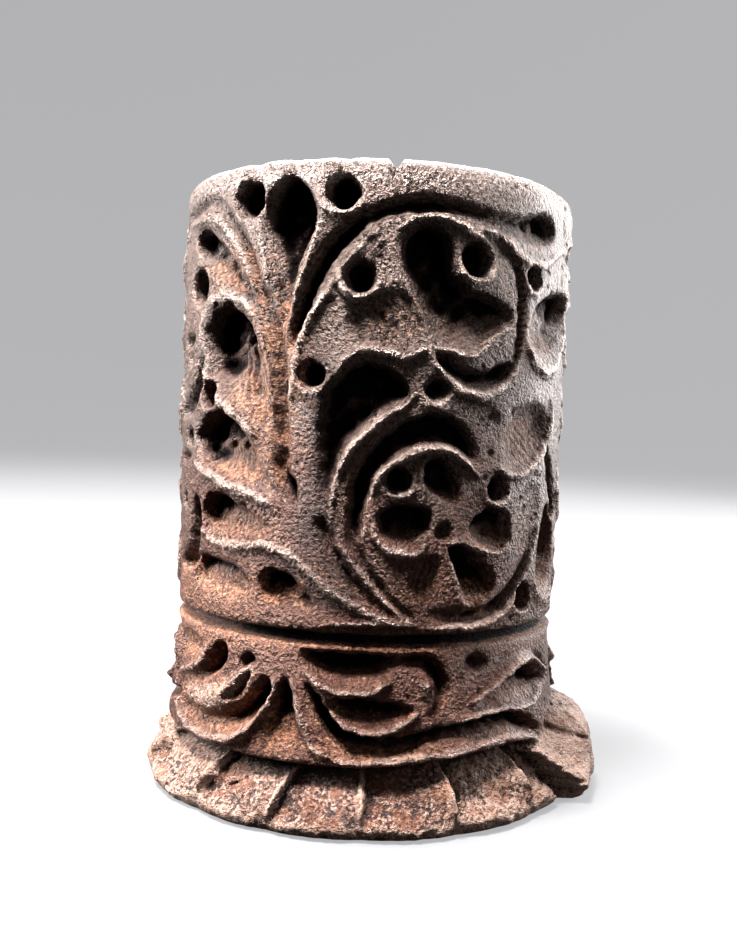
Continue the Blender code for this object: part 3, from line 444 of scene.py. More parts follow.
# Ridges that the tools pushed up or left standing: (height, half width, line of (s, z)).
FIELD_RIDGES = (
    (0.22, 0.45, ((-20.5, 47.8), (-18, 48.1), (-16, 48.1), (-14.2, 47.6), (-12.6, 46.3), (-11.2, 44.6),
                  (-10.5, 43.2), (-9.9, 42))),
    (0.14, 0.40, ((-18.6, 45.1), (-16, 43.8), (-14, 42.5), (-12, 41.6), (-10.4, 40.7), (-9.4, 39.9))),
    (0.36, 0.46, ((-16.2, 35.8), (-15.4, 34.4), (-14.2, 33.4), (-12.6, 32.6), (-10.8, 31.5), (-9.6, 30.6))),
    (0.34, 0.46, ((-16.8, 37.4), (-16.7, 39.2), (-15.9, 40.8), (-14.2, 41.5), (-12.4, 41.5), (-11, 41),
                  (-9.8, 39.8))),
    (0.44, 0.46, ((-17.4, 28.2), (-16, 27.5), (-14.2, 27), (-12.4, 26.5), (-10.4, 26.1), (-8.6, 25.6),
                  (-7.2, 24.8))),
    (0.38, 0.42, ((-16, 22.5), (-14.4, 21.9), (-12.4, 21.7), (-10.4, 21.8), (-8.8, 22), (-7.2, 21.9),
                  (-5.8, 21.3), (-4.4, 20.3), (-3.2, 19.3), (-2, 18.5), (-0.8, 17.8), (0.6, 17.1), (2, 16.6),
                  (3.6, 16.3))),
    (0.26, 0.30, ((-2.3, 23.4), (-1.75, 22), (-0.85, 20.9), (0.1, 19.9), (1, 18.9), (1.9, 17.9), (3, 17),
                  (4.2, 16.4))),
    (0.24, 0.30, ((-4.2, 16), (-2.6, 16.3), (0, 16.4), (2, 16.5), (4, 16.2))),
    (0.32, 0.34, ((0.3, 46.7), (-0.8, 45.8), (-1.8, 44.6), (-2.8, 43.1), (-3.7, 41.8), (-4.5, 40.6),
                  (-5.3, 39.2), (-5.9, 37.6), (-6.2, 35.8), (-6.5, 34), (-6.7, 32), (-6.8, 30.4))),
    (0.26, 0.28, ((-4.2, 48.4), (-4.6, 46.6), (-5.1, 45), (-5.7, 43.2), (-6.2, 41.4), (-6.7, 39.4))),
    (0.16, 0.40, ((-9.9, 47.4), (-9.5, 45.6), (-9.1, 43.6), (-8.8, 41.6))),
    (0.34, 0.40, ((1.3, 46.1), (1.9, 46.9), (2.9, 47.5), (4, 47.75), (5.2, 47.7), (6.4, 47.3), (7.6, 46.7),
                  (8.7, 46), (9.4, 45.2), (9.8, 44.2))),
    (0.26, 0.40, ((7.6, 47.2), (9, 47.1), (10.2, 46.8), (11.2, 46.3), (12.2, 45.7), (13.4, 45.2), (15, 45.1),
                  (16.6, 45.6), (18.2, 46.4), (20.4, 47), (22.6, 46.9))),
    (0.36, 0.34, ((-2.95, 35), (-2.3, 36.4), (-1.5, 37.2), (-0.4, 37.5), (0.8, 37.3), (2, 37.05), (3.1, 37.2),
                  (4.1, 37.9))),
    (0.32, 0.34, ((4.2, 38.1), (5.2, 37.7), (6.4, 37.5), (7.6, 37.3), (8.4, 37.7), (9.2, 38.4), (10.2, 39.1),
                  (11.4, 39.7), (12.2, 40.5))),
    (0.36, 0.38, ((4.2, 37.9), (4.6, 37), (5.3, 35.9), (6.2, 35.1), (7.4, 34.5), (8.6, 34.3), (9.8, 34.5),
                  (11, 35.1), (12, 36), (12.6, 37.2))),
    (0.36, 0.34, ((3.3, 34.4), (2.4, 33.3), (1.4, 32.7), (0.4, 31.9), (-0.7, 30.9), (-1.6, 29.8),
                  (-2.3, 28.4), (-2.7, 26.9), (-2.9, 25.4), (-2.9, 23.8))),
    (0.40, 0.34, ((-0.35, 22.8), (-0.35, 24.4), (-0.2, 25.8), (0.2, 27.1), (1, 28.2), (2, 29), (3.2, 29.7),
                  (4.6, 30.1), (6, 30), (7.2, 29.4), (8.2, 28.7), (9, 27.8))),
    (0.32, 0.34, ((0.3, 24.4), (0.55, 23.2), (1.2, 22.4), (2.2, 22), (3.3, 21.9), (4.2, 22.2), (4.6, 23))),
    (0.22, 0.24, ((4.4, 29.8), (4.15, 28.6), (4.15, 27.4), (4.4, 26.6))),
    (0.26, 0.34, ((6.2, 22.8), (7.4, 22.8), (8.6, 22.4), (9.8, 22), (11.2, 21.9), (12.4, 22.4))),
    (0.28, 0.28, ((6.1, 22.6), (6.65, 21.4), (7.1, 20.2), (7.4, 19), (7.9, 18), (9, 17.5))),
    (0.38, 0.38, ((4.6, 16.2), (6.6, 16.1), (8.6, 16.1), (10.4, 16.35), (12, 17), (13.2, 18), (14.3, 19.4),
                  (15.3, 20.9), (16.2, 22.4), (16.8, 24))),
    (0.40, 0.42, ((10.8, 28.7), (12.2, 28.1), (13.6, 28.1), (15, 28.7), (16.4, 29.7), (17.6, 30.9),
                  (18.3, 32.4), (18.4, 34.2))),
    (0.34, 0.45, ((13.8, 38.8), (14.6, 37.4), (15.8, 36.7), (17.2, 36.5), (18.8, 37.2), (20.2, 38.4),
                  (21.6, 40.2))),
    (0.30, 0.40, ((16.5, 19), (17.3, 17.8), (18.6, 17.3), (20.2, 17.1), (22, 17.8))),
    (0.20, 0.30, ((3.8, 33.6), (4.6, 33.1), (5.6, 33.2), (6.4, 33.7))),
    (0.18, 0.30, ((2, 49.8), (1.9, 51), (2.1, 52))),
    (0.16, 0.26, ((-0.7, 44.5), (-0.2, 45.3), (0.5, 46))),
    (0.45, 2.0, ((21.4, 49.6), (23.4, 48.6), (25.6, 48.2))),
    (0.50, 2.2, ((21.4, 44.8), (23.4, 43.6), (25.6, 43.0))),
)
# Single strokes of the graver left standing in the floors: (height, half width, line).
FIELD_STROKES = (
    (0.46, 0.26, ((-12.2, 38.6), (-12.1, 36.8), (-11.9, 35.4), (-12.1, 34))),
    (0.50, 0.26, ((-11.4, 39.2), (-11.4, 37.2), (-11.1, 35.4), (-11.3, 33.6))),
    (0.50, 0.26, ((-10.6, 39.2), (-10.7, 37.4), (-10.3, 35.6), (-10.5, 33.4))),
    (0.46, 0.24, ((-9.9, 38.2), (-9.9, 36.6), (-9.5, 34.9), (-9.7, 33))),
    (0.38, 0.22, ((-9.1, 37), (-9.2, 35.2), (-8.9, 33.8), (-9.1, 32.2))),
    (0.18, 0.22, ((-13.6, 45.6), (-13, 44.6), (-12.7, 43.4))),
    (0.18, 0.22, ((-14.7, 46), (-14.1, 45), (-13.9, 43.9))),
    (0.18, 0.22, ((-15.8, 46.4), (-15.2, 45.4), (-15, 44.4))),
    (0.18, 0.22, ((-12.5, 44.6), (-11.9, 43.6), (-11.6, 42.7))),
    (0.24, 0.22, ((-12.6, 31), (-12, 29.6), (-12, 28.2))),
    (0.24, 0.22, ((-11.4, 30.4), (-10.9, 29), (-10.9, 27.8))),
    (0.22, 0.20, ((-10.2, 29.6), (-9.7, 28.4), (-9.6, 27.2))),
    (0.26, 0.24, ((0.8, 42), (1.9, 40.9), (3.3, 39.2))),
    (0.26, 0.24, ((0, 41), (1.6, 39.9), (3.5, 38.4))),
    (0.26, 0.24, ((-0.9, 40), (0.6, 39.1), (2.6, 38.1))),
    (0.22, 0.22, ((2, 42.6), (2.9, 41.2), (3.8, 39.6))),
    (0.10, 0.16, ((7.6, 33.6), (9, 33), (10.6, 31.8))),
    (0.10, 0.16, ((8.2, 32.6), (9.6, 32.1), (10.8, 31.2))),
)
FIELD_SOFTNESS = 0.85  # the walls' width, as a share of the drawn one
SCOOP, SCOOP_CURVE = 0.55, 1.3  # how much of its depth a hollow has lost at its lower end, and how late
WALL_CURVE, THINNEST_WALL = 1.35, 0.15  # a curve above 1 rounds the foot of a wall
GROOVE_CURVE, RIDGE_CURVE = 2.2, 2.0  # a stroke's section: the higher, the squarer
RIDGE_SPREAD, RIDGE_END = 1.28, 0.35  # ridges are wider than drawn, and that share of their width at the ends
TOOTH_WIDTHS = (0.20, 0.18, 0.04)  # half the width at a tooth's heel, root and tip
EYE_WALL_TOP, EYE_WALL_FOOT = 1.08, 0.80  # in radii of the eye
COLLAR_AWAY, COLLAR_WIDTH, COLLAR_RISE = 0.34, 0.48, 1.2


def sideways(s, at):
    """How far to the right of a place each sheet point is, the short way round."""
    return (s - at + GIRTH / 2) % GIRTH - GIRTH / 2


def hollow(s, z, depth, outline):
    """Depth of a hollow with a drawn outline."""
    line = smooth_line(outline, closed=True)
    after = np.roll(line, -1, axis=0)
    inside = np.zeros(s.shape, bool)
    share = np.full(s.shape, np.inf)
    for (ax, az, aw), (bx, bz, bw) in zip(line, after):
        dx, dz = bx - ax, bz - az
        if az != bz:
            inside ^= ((az > z) != (bz > z)) & (s < dx * (z - az) / dz + ax)
        length = math.hypot(dx, dz)
        t = np.clip(((s - ax) * dx + (z - az) * dz) / max(length, 1e-9) ** 2, 0, 1)
        away = np.hypot(s - ax - t * dx, z - az - t * dz)
        share = np.minimum(share, away / np.maximum(aw + t * (bw - aw), THINNEST_WALL))
    share = np.where(inside, np.clip(share, 0, 1), 0)
    low, high = line[:, 1].min(), line[:, 1].max()
    scoop = 1 - SCOOP * (1 - np.clip((z - low) / (high - low), 0, 1)) ** SCOOP_CURVE
    return depth * scoop * (1 - (1 - share) ** WALL_CURVE)


def near(s, z, corners, reach):
    """The sheet points within reach of a drawn shape, as a mask and as (s, z) beside that shape."""
    middle = corners[:, 0].mean()
    beside = sideways(s, middle) + middle
    low, high = corners[:, :2].min(axis=0) - reach, corners[:, :2].max(axis=0) + reach
    here = (beside > low[0]) & (beside < high[0]) & (z > low[1]) & (z < high[1])
    return here, beside[here], z[here]


def ridge_line(half_width, line):
    """A ridge's smooth line, thinner towards both ends."""
    p = smooth_line(line)
    t = np.linspace(0, 1, len(p))
    part = RIDGE_END + (1 - RIDGE_END) * np.sqrt(np.sin(math.pi * t).clip(0))
    return np.column_stack([p, half_width * part])


def tooth_grooves(rows):
    """Each tooth of the rows as a short groove that narrows to a point."""
    draw = np.random.default_rng(7)
    grooves = []
    for first, last, count, reach, depth in rows:
        for k in range(count):
            root = np.array(first) + (np.array(last) - first) * k / (count - 1)
            tip = root + np.array(reach) * draw.uniform(0.65, 1.15) + draw.uniform(-0.1, 0.1, 2)
            heel = root - 0.4 * np.array(reach)
            line = tuple((*place, width) for place, width in zip((heel, root, tip), TOOTH_WIDTHS))
            grooves.append((depth * draw.uniform(0.8, 1.1), line))
    return tuple(grooves)


def carve(s, z, hollows, grooves, eyes, ridges, strokes, softness, shift=0.0):
    """(cut, lift) of one drawing on the sheet, moved shift to the right. Softness widens the walls."""
    cut, lift = np.zeros(s.shape), np.zeros(s.shape)
    move = np.array((shift, 0.0, 0.0))
    for depth, outline in hollows.values():
        corners = np.array(outline) * (1, 1, softness) + move
        here, x, y = near(s, z, corners, 0.5)
        cut[here] = np.maximum(cut[here], hollow(x, y, depth, corners))
    for depth, line in grooves:
        p = smooth_line(np.array(line) + move)
        here, x, y = near(s, z, p, 1.2)
        cut[here] = np.maximum(cut[here], depth * stroke(x, y, p, GROOVE_CURVE))
    for height, half_width, line in ridges:
        p = ridge_line(half_width * RIDGE_SPREAD, line) + move
        here, x, y = near(s, z, p, 1.4)
        lift[here] = np.maximum(lift[here], height * stroke(x, y, p, RIDGE_CURVE))
    for eye_s, eye_z, radius, depth, lip in eyes:
        centre = np.array([[eye_s + shift, eye_z, 0]])
        here, x, y = near(s, z, centre, 2.2 * radius)
        away = np.hypot(x - centre[0, 0], y - eye_z) / radius
        wall = ramp(away, EYE_WALL_TOP, EYE_WALL_FOOT) * (1 - 0.15 * np.clip(away, 0, 1) ** 2)
        cut[here] = np.maximum(cut[here], depth * wall)
        under = np.clip(0.35 - (y - eye_z) / np.maximum(away * radius, 1e-6), 0, 1)
        collar = np.clip(1 - ((away * radius - radius - COLLAR_AWAY) / COLLAR_WIDTH) ** 2, 0, 1)
        lift[here] = np.maximum(lift[here], lip * COLLAR_RISE * collar * under)
    standing = np.zeros(s.shape)
    for height, half_width, line in strokes:
        p = ridge_line(half_width, line) + move
        here, x, y = near(s, z, p, 0.8)
        standing[here] = np.maximum(standing[here], height * stroke(x, y, p, RIDGE_CURVE))
    return np.maximum(cut - standing, 0), lift


# The lower band: crescents, a half moon, a lens and a leaf over one long groove, cut as the scroll is, with
# softer walls and bolder ridges. The tables are of the same kinds.
BAND_HOLLOWS = {
    "slanted gouge": (1.8, (
        (-13.3, 13.5, 0.4), (-12.3, 13.7, 0.4), (-11.9, 12.8, 0.4), (-12.3, 11.8, 0.45), (-13, 11, 0.5),
        (-14.2, 10.2, 0.5), (-15.8, 9.8, 0.4), (-18.6, 9.8, 0.3), (-17, 10.3, 0.5), (-15.4, 10.8, 0.6),
        (-14.4, 11.8, 0.5), (-13.9, 12.7, 0.4),
    )),
    "short notch": (1.3, (
        (-9.7, 13.3, 0.35), (-8.9, 13.1, 0.35), (-9.1, 12.4, 0.4), (-10, 11.7, 0.35), (-10.5, 12.2, 0.35),
        (-10.1, 12.9, 0.35),
    )),
    "left crescent": (1.9, (
        (-8, 11.6, 0.35), (-7.3, 11.2, 0.35), (-7.2, 10.2, 0.4), (-7.9, 9, 0.5), (-8.8, 7.9, 0.6),
        (-10.2, 6.9, 0.8), (-12, 6.4, 1.2), (-14.4, 6.3, 1.2), (-16.8, 6.8, 0.9), (-18.6, 7.8, 0.6),
        (-16.6, 7.8, 0.6), (-14.2, 7.6, 0.5), (-12.2, 8, 0.4), (-10.6, 8.8, 0.35), (-9.4, 9.9, 0.35),
        (-8.6, 10.9, 0.35),
    )),
    "left dish": (0.7, (
        (-19.6, 9.4, 0.6), (-17.6, 9.5, 0.6), (-15.4, 9.5, 0.6), (-13.4, 10.2, 0.6), (-12, 11.4, 0.6),
        (-11.2, 10.6, 0.7), (-12.4, 9.2, 0.8), (-14.6, 8.4, 0.9), (-17.2, 8.4, 0.9), (-19.2, 8.8, 0.7),
    )),
    "far left dish": (0.6, (
        (-21, 12.6, 0.6), (-19, 13.6, 0.5), (-16.4, 13.6, 0.5), (-15.2, 12.6, 0.5), (-16.4, 11.4, 0.8),
        (-18.6, 11, 0.9), (-20.6, 11.4, 0.8),
    )),
    "wedge": (1.9, (
        (-6.2, 11.9, 0.4), (-5.5, 10.4, 0.4), (-5.1, 8.8, 0.4), (-4.8, 7.2, 0.5), (-4.6, 6.2, 0.8),
        (-6.2, 5.9, 2.2), (-7.9, 6.2, 1.0), (-7.6, 7.6, 0.5), (-7.1, 9.4, 0.4), (-6.7, 10.8, 0.4),
    )),
    "half moon": (1.9, (
        (-5, 13.9, 0.35), (-3, 14.05, 0.3), (0, 14.1, 0.3), (2, 14, 0.35), (3.4, 13.6, 0.7), (2.4, 12.8, 0.8),
        (1.2, 12, 0.8), (-0.2, 11.6, 0.8), (-1.8, 11.6, 0.8), (-3.2, 12.1, 0.7), (-4.4, 13, 0.5),
    )),
    "lens": (1.9, (
        (-2.5, 10, 0.4), (-1.2, 10.5, 0.3), (0.4, 10.5, 0.3), (2, 10.3, 0.3), (3.2, 10.1, 0.3),
        (4.2, 9.6, 0.35), (3, 9, 0.6), (1.6, 8.6, 0.7), (0.2, 8.5, 0.7), (-1.2, 8.9, 0.6),
    )),
    "soft notch": (1.3, (
        (8.4, 13.3, 0.5), (9.2, 13.9, 0.4), (10.3, 13.7, 0.5), (10.6, 12.9, 0.6), (9.7, 12.3, 0.7),
        (8.7, 12.6, 0.6),
    )),
    "leaf": (2.0, (
        (9.4, 9.9, 0.4), (11.2, 10.6, 0.4), (12.8, 11.4, 0.35), (14.4, 12, 0.35), (16, 11.9, 0.35),
        (17.6, 11.2, 0.4), (19.4, 10.2, 0.5), (17.8, 9.6, 1.2), (15.8, 9.2, 1.8), (13.4, 9.2, 1.9),
        (11.2, 9.2, 1.2),
    )),
}
BAND_GROOVES = (
    (1.7, ((-4.2, 11.2, 0.2), (-3.2, 9.4, 0.6), (-2.1, 8, 0.68), (-0.8, 7.2, 0.68), (1, 6.9, 0.62),
           (3.2, 7, 0.55), (5.2, 7.6, 0.5), (7.6, 8, 0.45), (10, 8.25, 0.48), (12.4, 8.3, 0.56),
           (14.4, 7.8, 0.56), (16.2, 7, 0.45), (18.4, 6.1, 0.2))),
    (1.1, ((3.2, 13.6, 0.4), (4.9, 13.4, 0.55), (6, 12.5, 0.6), (6.45, 11.2, 0.5), (6.1, 10, 0.3),
           (5.4, 9.2, 0.15))),
    (0.6, ((-11.8, 9.2, 0.2), (-10.6, 10, 0.5), (-9.6, 11.2, 0.5), (-9, 12.4, 0.2))),
    (0.5, ((17.2, 12.9, 0.15), (18.8, 12.1, 0.3), (20.6, 10.6, 0.3))),
)
BAND_RIDGES = (
    (0.35, 0.40, ((-20.4, 8.8), (-19, 7.2), (-17, 6.3), (-15, 5.9), (-13, 5.9), (-11, 6.1), (-9.8, 6.7),
                  (-8.8, 7.7), (-8, 8.8), (-7.4, 9.8), (-7, 10.8), (-6.9, 11.6))),
    (0.34, 0.95, ((-17.2, 9.0), (-15.2, 8.9), (-13.2, 9.2), (-11.4, 10.0), (-10.1, 11.0), (-9.2, 12.2))),
    (0.22, 0.40, ((-19.6, 10), (-17.6, 10.5), (-15.8, 11.2), (-14.8, 12.2), (-14.3, 13.2))),
    (0.28, 0.34, ((-5.5, 11.6), (-5, 10), (-4.5, 8.6), (-4, 7.4), (-3.6, 6.6))),
    (0.30, 0.32, ((-4.6, 12.5), (-3.4, 11.6), (-2, 11.1), (-0.5, 10.95), (0.9, 11.2), (2.2, 12))),
    (0.34, 0.34, ((-3.1, 10.2), (-2.2, 9.2), (-1.3, 8.5), (0, 8.1), (1.3, 8.05), (2.5, 8.4), (3.6, 9),
                  (4.4, 9.6))),
    (0.34, 0.42, ((-4.2, 7.4), (-3.2, 6.4), (-1.8, 5.85), (0, 5.7), (2, 5.85), (4, 6.05), (6, 6.2), (8, 6.4),
                  (10, 6.6), (12, 6.75), (13.6, 6.6), (15, 6.3), (16.6, 5.9), (18.4, 5.4))),
    (0.34, 0.34, ((6.2, 7.9), (7.8, 8.5), (9.2, 8.9), (10.8, 9.05), (12.6, 9), (14.4, 8.9), (16, 9),
                  (17.4, 9.4), (18.6, 10))),
    (0.36, 0.40, ((9, 10), (10.6, 10.7), (12.2, 11.8), (13.6, 12.5), (15.2, 12.8), (16.8, 12.4), (18.2, 11.7),
                  (19.8, 10.8))),
    (0.24, 0.42, ((4.6, 12.3), (4.9, 11.6), (4.9, 10.9))),
)
BAND_SOFTNESS = 1.9
BAND_DEEPER, BAND_BOLDER = 1.25, 1.75
# At each side the band goes on with a half moon and a lens over the start of the long groove.
SIDE_BAND = (
    {name: BAND_HOLLOWS[name] for name in ("half moon", "lens")},
    (BAND_GROOVES[1], (1.5, BAND_GROOVES[0][1][:8])), (),
    (BAND_RIDGES[4], BAND_RIDGES[5], BAND_RIDGES[9]), (), BAND_SOFTNESS,
)
SIDE_BAND_DEEPER, SIDE_BAND_BOLDER = 1.15, 1.6

# The narrow field at each side, between the end of one scroll and the start of the next, holds a vine: a
# stem that waves up the middle, with a leaf, an eye and a small lens at every turn. One turn of it is drawn,
# as (across from the middle towards the leaf, up from the foot of the turn).
VINE_MIDDLE = 26.6
VINE_TURNS = 5
VINE_TURN = 7.1  # height of one turn as drawn
VINE_SHORT = 2.9  # how far below the top the vine ends
VINE_LEAF = (
    (0.3, 0.9, 0.5), (1.3, 1.7, 0.9), (2.6, 2.3, 1.3), (3.8, 3.2, 1.0), (4.4, 4.5, 0.5), (4.2, 5.7, 0.4),
    (3.3, 6.5, 0.35), (2.2, 6.6, 0.35), (1.3, 6.1, 0.4), (0.8, 5.1, 0.6), (0.5, 3.8, 0.9), (0.2, 2.2, 0.8),
)
VINE_LENS = (
    (-1.5, 1.3, 0.4), (-2.6, 1.9, 0.4), (-3.8, 1.9, 0.4), (-4.4, 1.2, 0.5), (-3.4, 0.6, 0.8),
    (-2.2, 0.6, 0.8),
)
VINE_SLIT = ((-2.0, 6.9, 0.2), (-3.2, 6.4, 0.5), (-4.4, 6.5, 0.3))
VINE_EYE = (-2.9, 4.0, 1.05, 1.9, 0.22)
VINE_STEM_BEND = 0.95
VINE_LIPS = (
    (0.34, 0.40, ((0.5, 0.5), (1.7, 1.1), (3.0, 1.7), (4.2, 2.7), (4.9, 4.2), (4.8, 5.8))),
    (0.24, 0.34, ((-0.7, 0.5), (-1.6, 2.0), (-1.9, 3.6), (-1.6, 5.2), (-0.7, 6.8))),
)
VINE_TEETH = ((1.5, 6.3), (4.0, 6.0), 5, (0.25, 0.55), 1.3)
VINE_COMB = (2.2, 3.6, 2.2, 2.2, 35, 0.55, 0.8)
VINE_LEAF_DEPTH, VINE_LENS_DEPTH, VINE_SLIT_DEPTH, VINE_STEM_DEPTH = 2.3, 1.3, 0.9, 1.0


def vine():
    """Hollows, grooves, eyes and ridges of the vine, and where its leaves' floors are."""
    step = (FIELD_HEIGHT - VINE_SHORT) / VINE_TURNS
    hollows, grooves, eyes, ridges, floors = {}, [], [], [], []
    stem = []
    for k in range(VINE_TURNS):
        side, foot = (-1) ** k, FIELD_FOOT + 0.4 + step * k

        def placed(points):
            return tuple(
                (VINE_MIDDLE + side * x, foot + y * step / VINE_TURN, *rest) for x, y, *rest in points
            )

        hollows[f"leaf {k}"] = (VINE_LEAF_DEPTH, placed(VINE_LEAF))
        hollows[f"lens {k}"] = (VINE_LENS_DEPTH, placed(VINE_LENS))
        grooves.append((VINE_SLIT_DEPTH, placed(VINE_SLIT)))
        first, last, count, (reach_s, reach_z), depth = VINE_TEETH
        grooves += tooth_grooves(((*placed((first, last)), count, (side * reach_s, reach_z), depth),))
        across, up, radius, depth, lip = VINE_EYE
        eyes.append((VINE_MIDDLE + side * across, foot + up, radius, depth, lip))
        ridges += [(height, half, placed(line)) for height, half, line in VINE_LIPS]
        stem.append((VINE_MIDDLE, foot - 0.2, 0.5))
        stem.append((VINE_MIDDLE - side * VINE_STEM_BEND, foot + step / 2, 0.55))
        across, up, half_s, half_z, heading, pitch, strength = VINE_COMB
        heading = 90 - side * (90 - heading)
        floors.append((VINE_MIDDLE + side * across, foot + up, half_s, half_z, heading, pitch, strength))
    stem.append((VINE_MIDDLE, HEIGHT - VINE_SHORT, 0.2))
    return hollows, (*grooves, (VINE_STEM_DEPTH, tuple(stem))), tuple(eyes), tuple(ridges), tuple(floors)


# The skin of the whole die, as a sheet of rows and columns with all the carving cut into it. It is finest at
# the front and sides, and coarser at the back. Spacings in millimetres.
FINE_CELL = 0.15
BACK_CELL = 0.26
FINE_HALF_ANGLE, COARSE_ANGLE = 105.0, 150
COUNTING_STEP = 0.05
ROW = 0.15
FOOT_ROW = 0.13
TOP_ROW, TOP_MIDDLE_ROWS = 0.22, 20
SKIN_TRIANGLES = 196000
HAND = 0.08  # how far an edge strays from its drawn line
WORN_ROUND = 2  # how many cells wear has rounded the edges of the cuts by
LOST_IN_CUTS = 0.80  # a ridge is gone where the cut under it is this deep


def column_angles():
    """Angles of the skin's columns, in degrees, close together at the front and sides."""
    fine_enough = np.linspace(-180, 180, round(360 / COUNTING_STEP) + 1)
    cell = FINE_CELL + (BACK_CELL - FINE_CELL) * ramp(np.abs(fine_enough), FINE_HALF_ANGLE, COARSE_ANGLE)
    step = np.radians(COUNTING_STEP) * RADIUS
    count = np.concatenate([[0], np.cumsum(step / ((cell[1:] + cell[:-1]) / 2))])
    columns = round(count[-1])
    return np.interp(np.arange(columns) * count[-1] / columns, count, fine_enough)


def blurred(grid, cells):
    """The sheet averaged over a window, round the body and up it."""
    kernel = np.hanning(2 * cells + 3)[1:-1]
    kernel /= kernel.sum()
    padded = np.concatenate([grid[:, -cells:], grid, grid[:, :cells]], axis=1)
    rows = np.apply_along_axis(lambda line: np.convolve(line, kernel, "valid"), 1, padded)
    padded = np.concatenate([rows[:1].repeat(cells, 0), rows, rows[-1:].repeat(cells, 0)], axis=0)
    return np.apply_along_axis(lambda line: np.convolve(line, kernel, "valid"), 0, padded)


# Rows run from the middle of the underside, out and up the side, over the rim and in to the top's middle.
angles = column_angles()
columns = len(angles)
under_shares = np.array([0.0, 0.3, 0.6, 0.8, 0.9, 0.96, 0.985])
foot_rows = np.linspace(0, FOOT_TOP, round(FOOT_TOP / FOOT_ROW) + 1)
side_count = round((HEIGHT - RIM_ROUNDING - FOOT_TOP) / ROW)
side_rows = np.linspace(FOOT_TOP, HEIGHT - RIM_ROUNDING, side_count + 1)[1:]
rim_turns = np.linspace(0, math.pi / 2, 13)[1:]
top_radii = np.arange(RADIUS - RIM_ROUNDING - 0.2, 8.0, -TOP_ROW)
top_radii = np.concatenate([top_radii, np.linspace(7.8, 0.4, TOP_MIDDLE_ROWS)])

degrees, z = np.meshgrid(angles, np.concatenate([foot_rows, side_rows]))
s = np.radians(degrees) * RADIUS
neck = np.interp(s, *zip(*NECK_LINE))
*vine_drawing, vine_floors = vine()
# No line is quite true: the hand and the years have moved every edge a little.
drawn_s = s + HAND * wobble(s, z, 1.1, 11) + 0.5 * HAND * wobble(s, z, 0.6, 12)
drawn_z = z + HAND * wobble(s, z, 1.1, 13) + 0.5 * HAND * wobble(s, z, 0.6, 14)
# Each drawing, how far it is moved to the right, how much deeper its cuts are and how much bolder its ridges.
DRAWINGS = (
    ((FIELD_HOLLOWS, FIELD_GROOVES + tooth_grooves(TEETH), FIELD_EYES, FIELD_RIDGES, FIELD_STROKES,
      FIELD_SOFTNESS), 0.0, 1.0, 1.0),
    ((*vine_drawing, (), FIELD_SOFTNESS), 0.0, 1.0, 1.0),
    ((BAND_HOLLOWS, BAND_GROOVES, (), BAND_RIDGES, (), BAND_SOFTNESS), 0.0, BAND_DEEPER, BAND_BOLDER),
    (SIDE_BAND, REPEAT / 2, SIDE_BAND_DEEPER, SIDE_BAND_BOLDER),
)
cut, lift = np.zeros(s.shape), np.zeros(s.shape)
for shift in (0.0, REPEAT):
    for drawing, aside, deeper, bolder in DRAWINGS:
        more_cut, more_lift = carve(drawn_s, drawn_z, *drawing, shift=shift + aside)
        cut, lift = np.maximum(cut, deeper * more_cut), np.maximum(lift, bolder * more_lift)
on_carving = ((z > neck + 0.1) & (z < BAND_TOP + 0.1)) | (z > FIELD_FOOT - 0.1)
cut, lift = np.where(on_carving, cut, 0), np.where(on_carving, lift, 0)
cut = blurred(cut, WORN_ROUND) * (1 + 0.12 * wobble(s, z, 1.8, 15))
lift = blurred(lift, 1) * np.exp(-((cut / LOST_IN_CUTS) ** 2)) * (1 + 0.22 * wobble(s, z, 1.6, 16))
turned_body, turned_cut = body_reach(z, neck)
body = turned_body - turned_cut + lift - cut
foot, rib, foot_edge, bent = foot_reach(degrees, z, neck)
radius = np.maximum(body, foot)
on_foot = ramp(foot - body, -0.05, 0.10)
gap, break_shade = in_gap(degrees, z)
gap_floor = RADIUS + GAP_FLOOR - GAP_FLOOR_SLOPE * np.clip(z / FOOT_TOP, 0, 1)
radius = radius + np.minimum(gap_floor - radius, 0) * gap

# What the finish needs to know of each point. First the chatter: how strong it is, and how many of its ridges
# have been counted up to the point.
comb, comb_turns = np.zeros(s.shape), np.zeros(s.shape)
for shift in (0.0, REPEAT):
    for at_s, at_z, half_s, half_z, heading, pitch, strength in COMBS + vine_floors:
        beside = sideways(s, at_s + shift)
        patch = strength * (1 - ramp((beside / half_s) ** 2 + ((z - at_z) / half_z) ** 2, 0.35, 1.1))
        stronger = patch > comb
        comb = np.where(stronger, patch, comb)
        run = beside * math.cos(math.radians(heading)) + (z - at_z) * math.sin(math.radians(heading))
        comb_turns = np.where(stronger, run / pitch, comb_turns)

# How much each point stands on a ridge, for the painted highlight over rubbed metal there.
ridge = np.clip(lift / 0.26, 0, 1) * (0.7 + 0.3 * ramp(z, BAND_TOP - 0.5, FIELD_FOOT))
# Raised crests, shut-in places and low ground, from how each point stands against the skin that many cells
# round it. The finish paints a highlight on the crests and paints shade into the shut-in places and low
# ground. The second number is the height or depth that counts in full.
CREST_CELLS, CREST_HEIGHT = 4, 0.16
SHUT_IN_CELLS, SHUT_IN_DEPTH = 9, 0.45
LOW_CELLS, LOW_DEPTH = 22, 1.3
crest = np.clip((radius - blurred(radius, CREST_CELLS)) / CREST_HEIGHT, 0, 1)
shut_in_shade = np.clip((blurred(radius, SHUT_IN_CELLS) - radius) / SHUT_IN_DEPTH, 0, 1)
# Painted shade on the foot's top, under the band's overhang at the neck.
shut_in_shade = np.maximum(shut_in_shade, on_foot * (1 - bent) * (1 - ramp(neck - z, 0.3, 1.0)))
low_ground = np.clip((blurred(radius, LOW_CELLS) - radius) / LOW_DEPTH, 0, 1)
recess = np.clip((cut + 1.7 * turned_cut) / 2.2, 0, 1)
# Where the rim's bare metal and painted sheen lie.
rim = ramp(z, HEIGHT - 3.6, HEIGHT - 1.2)
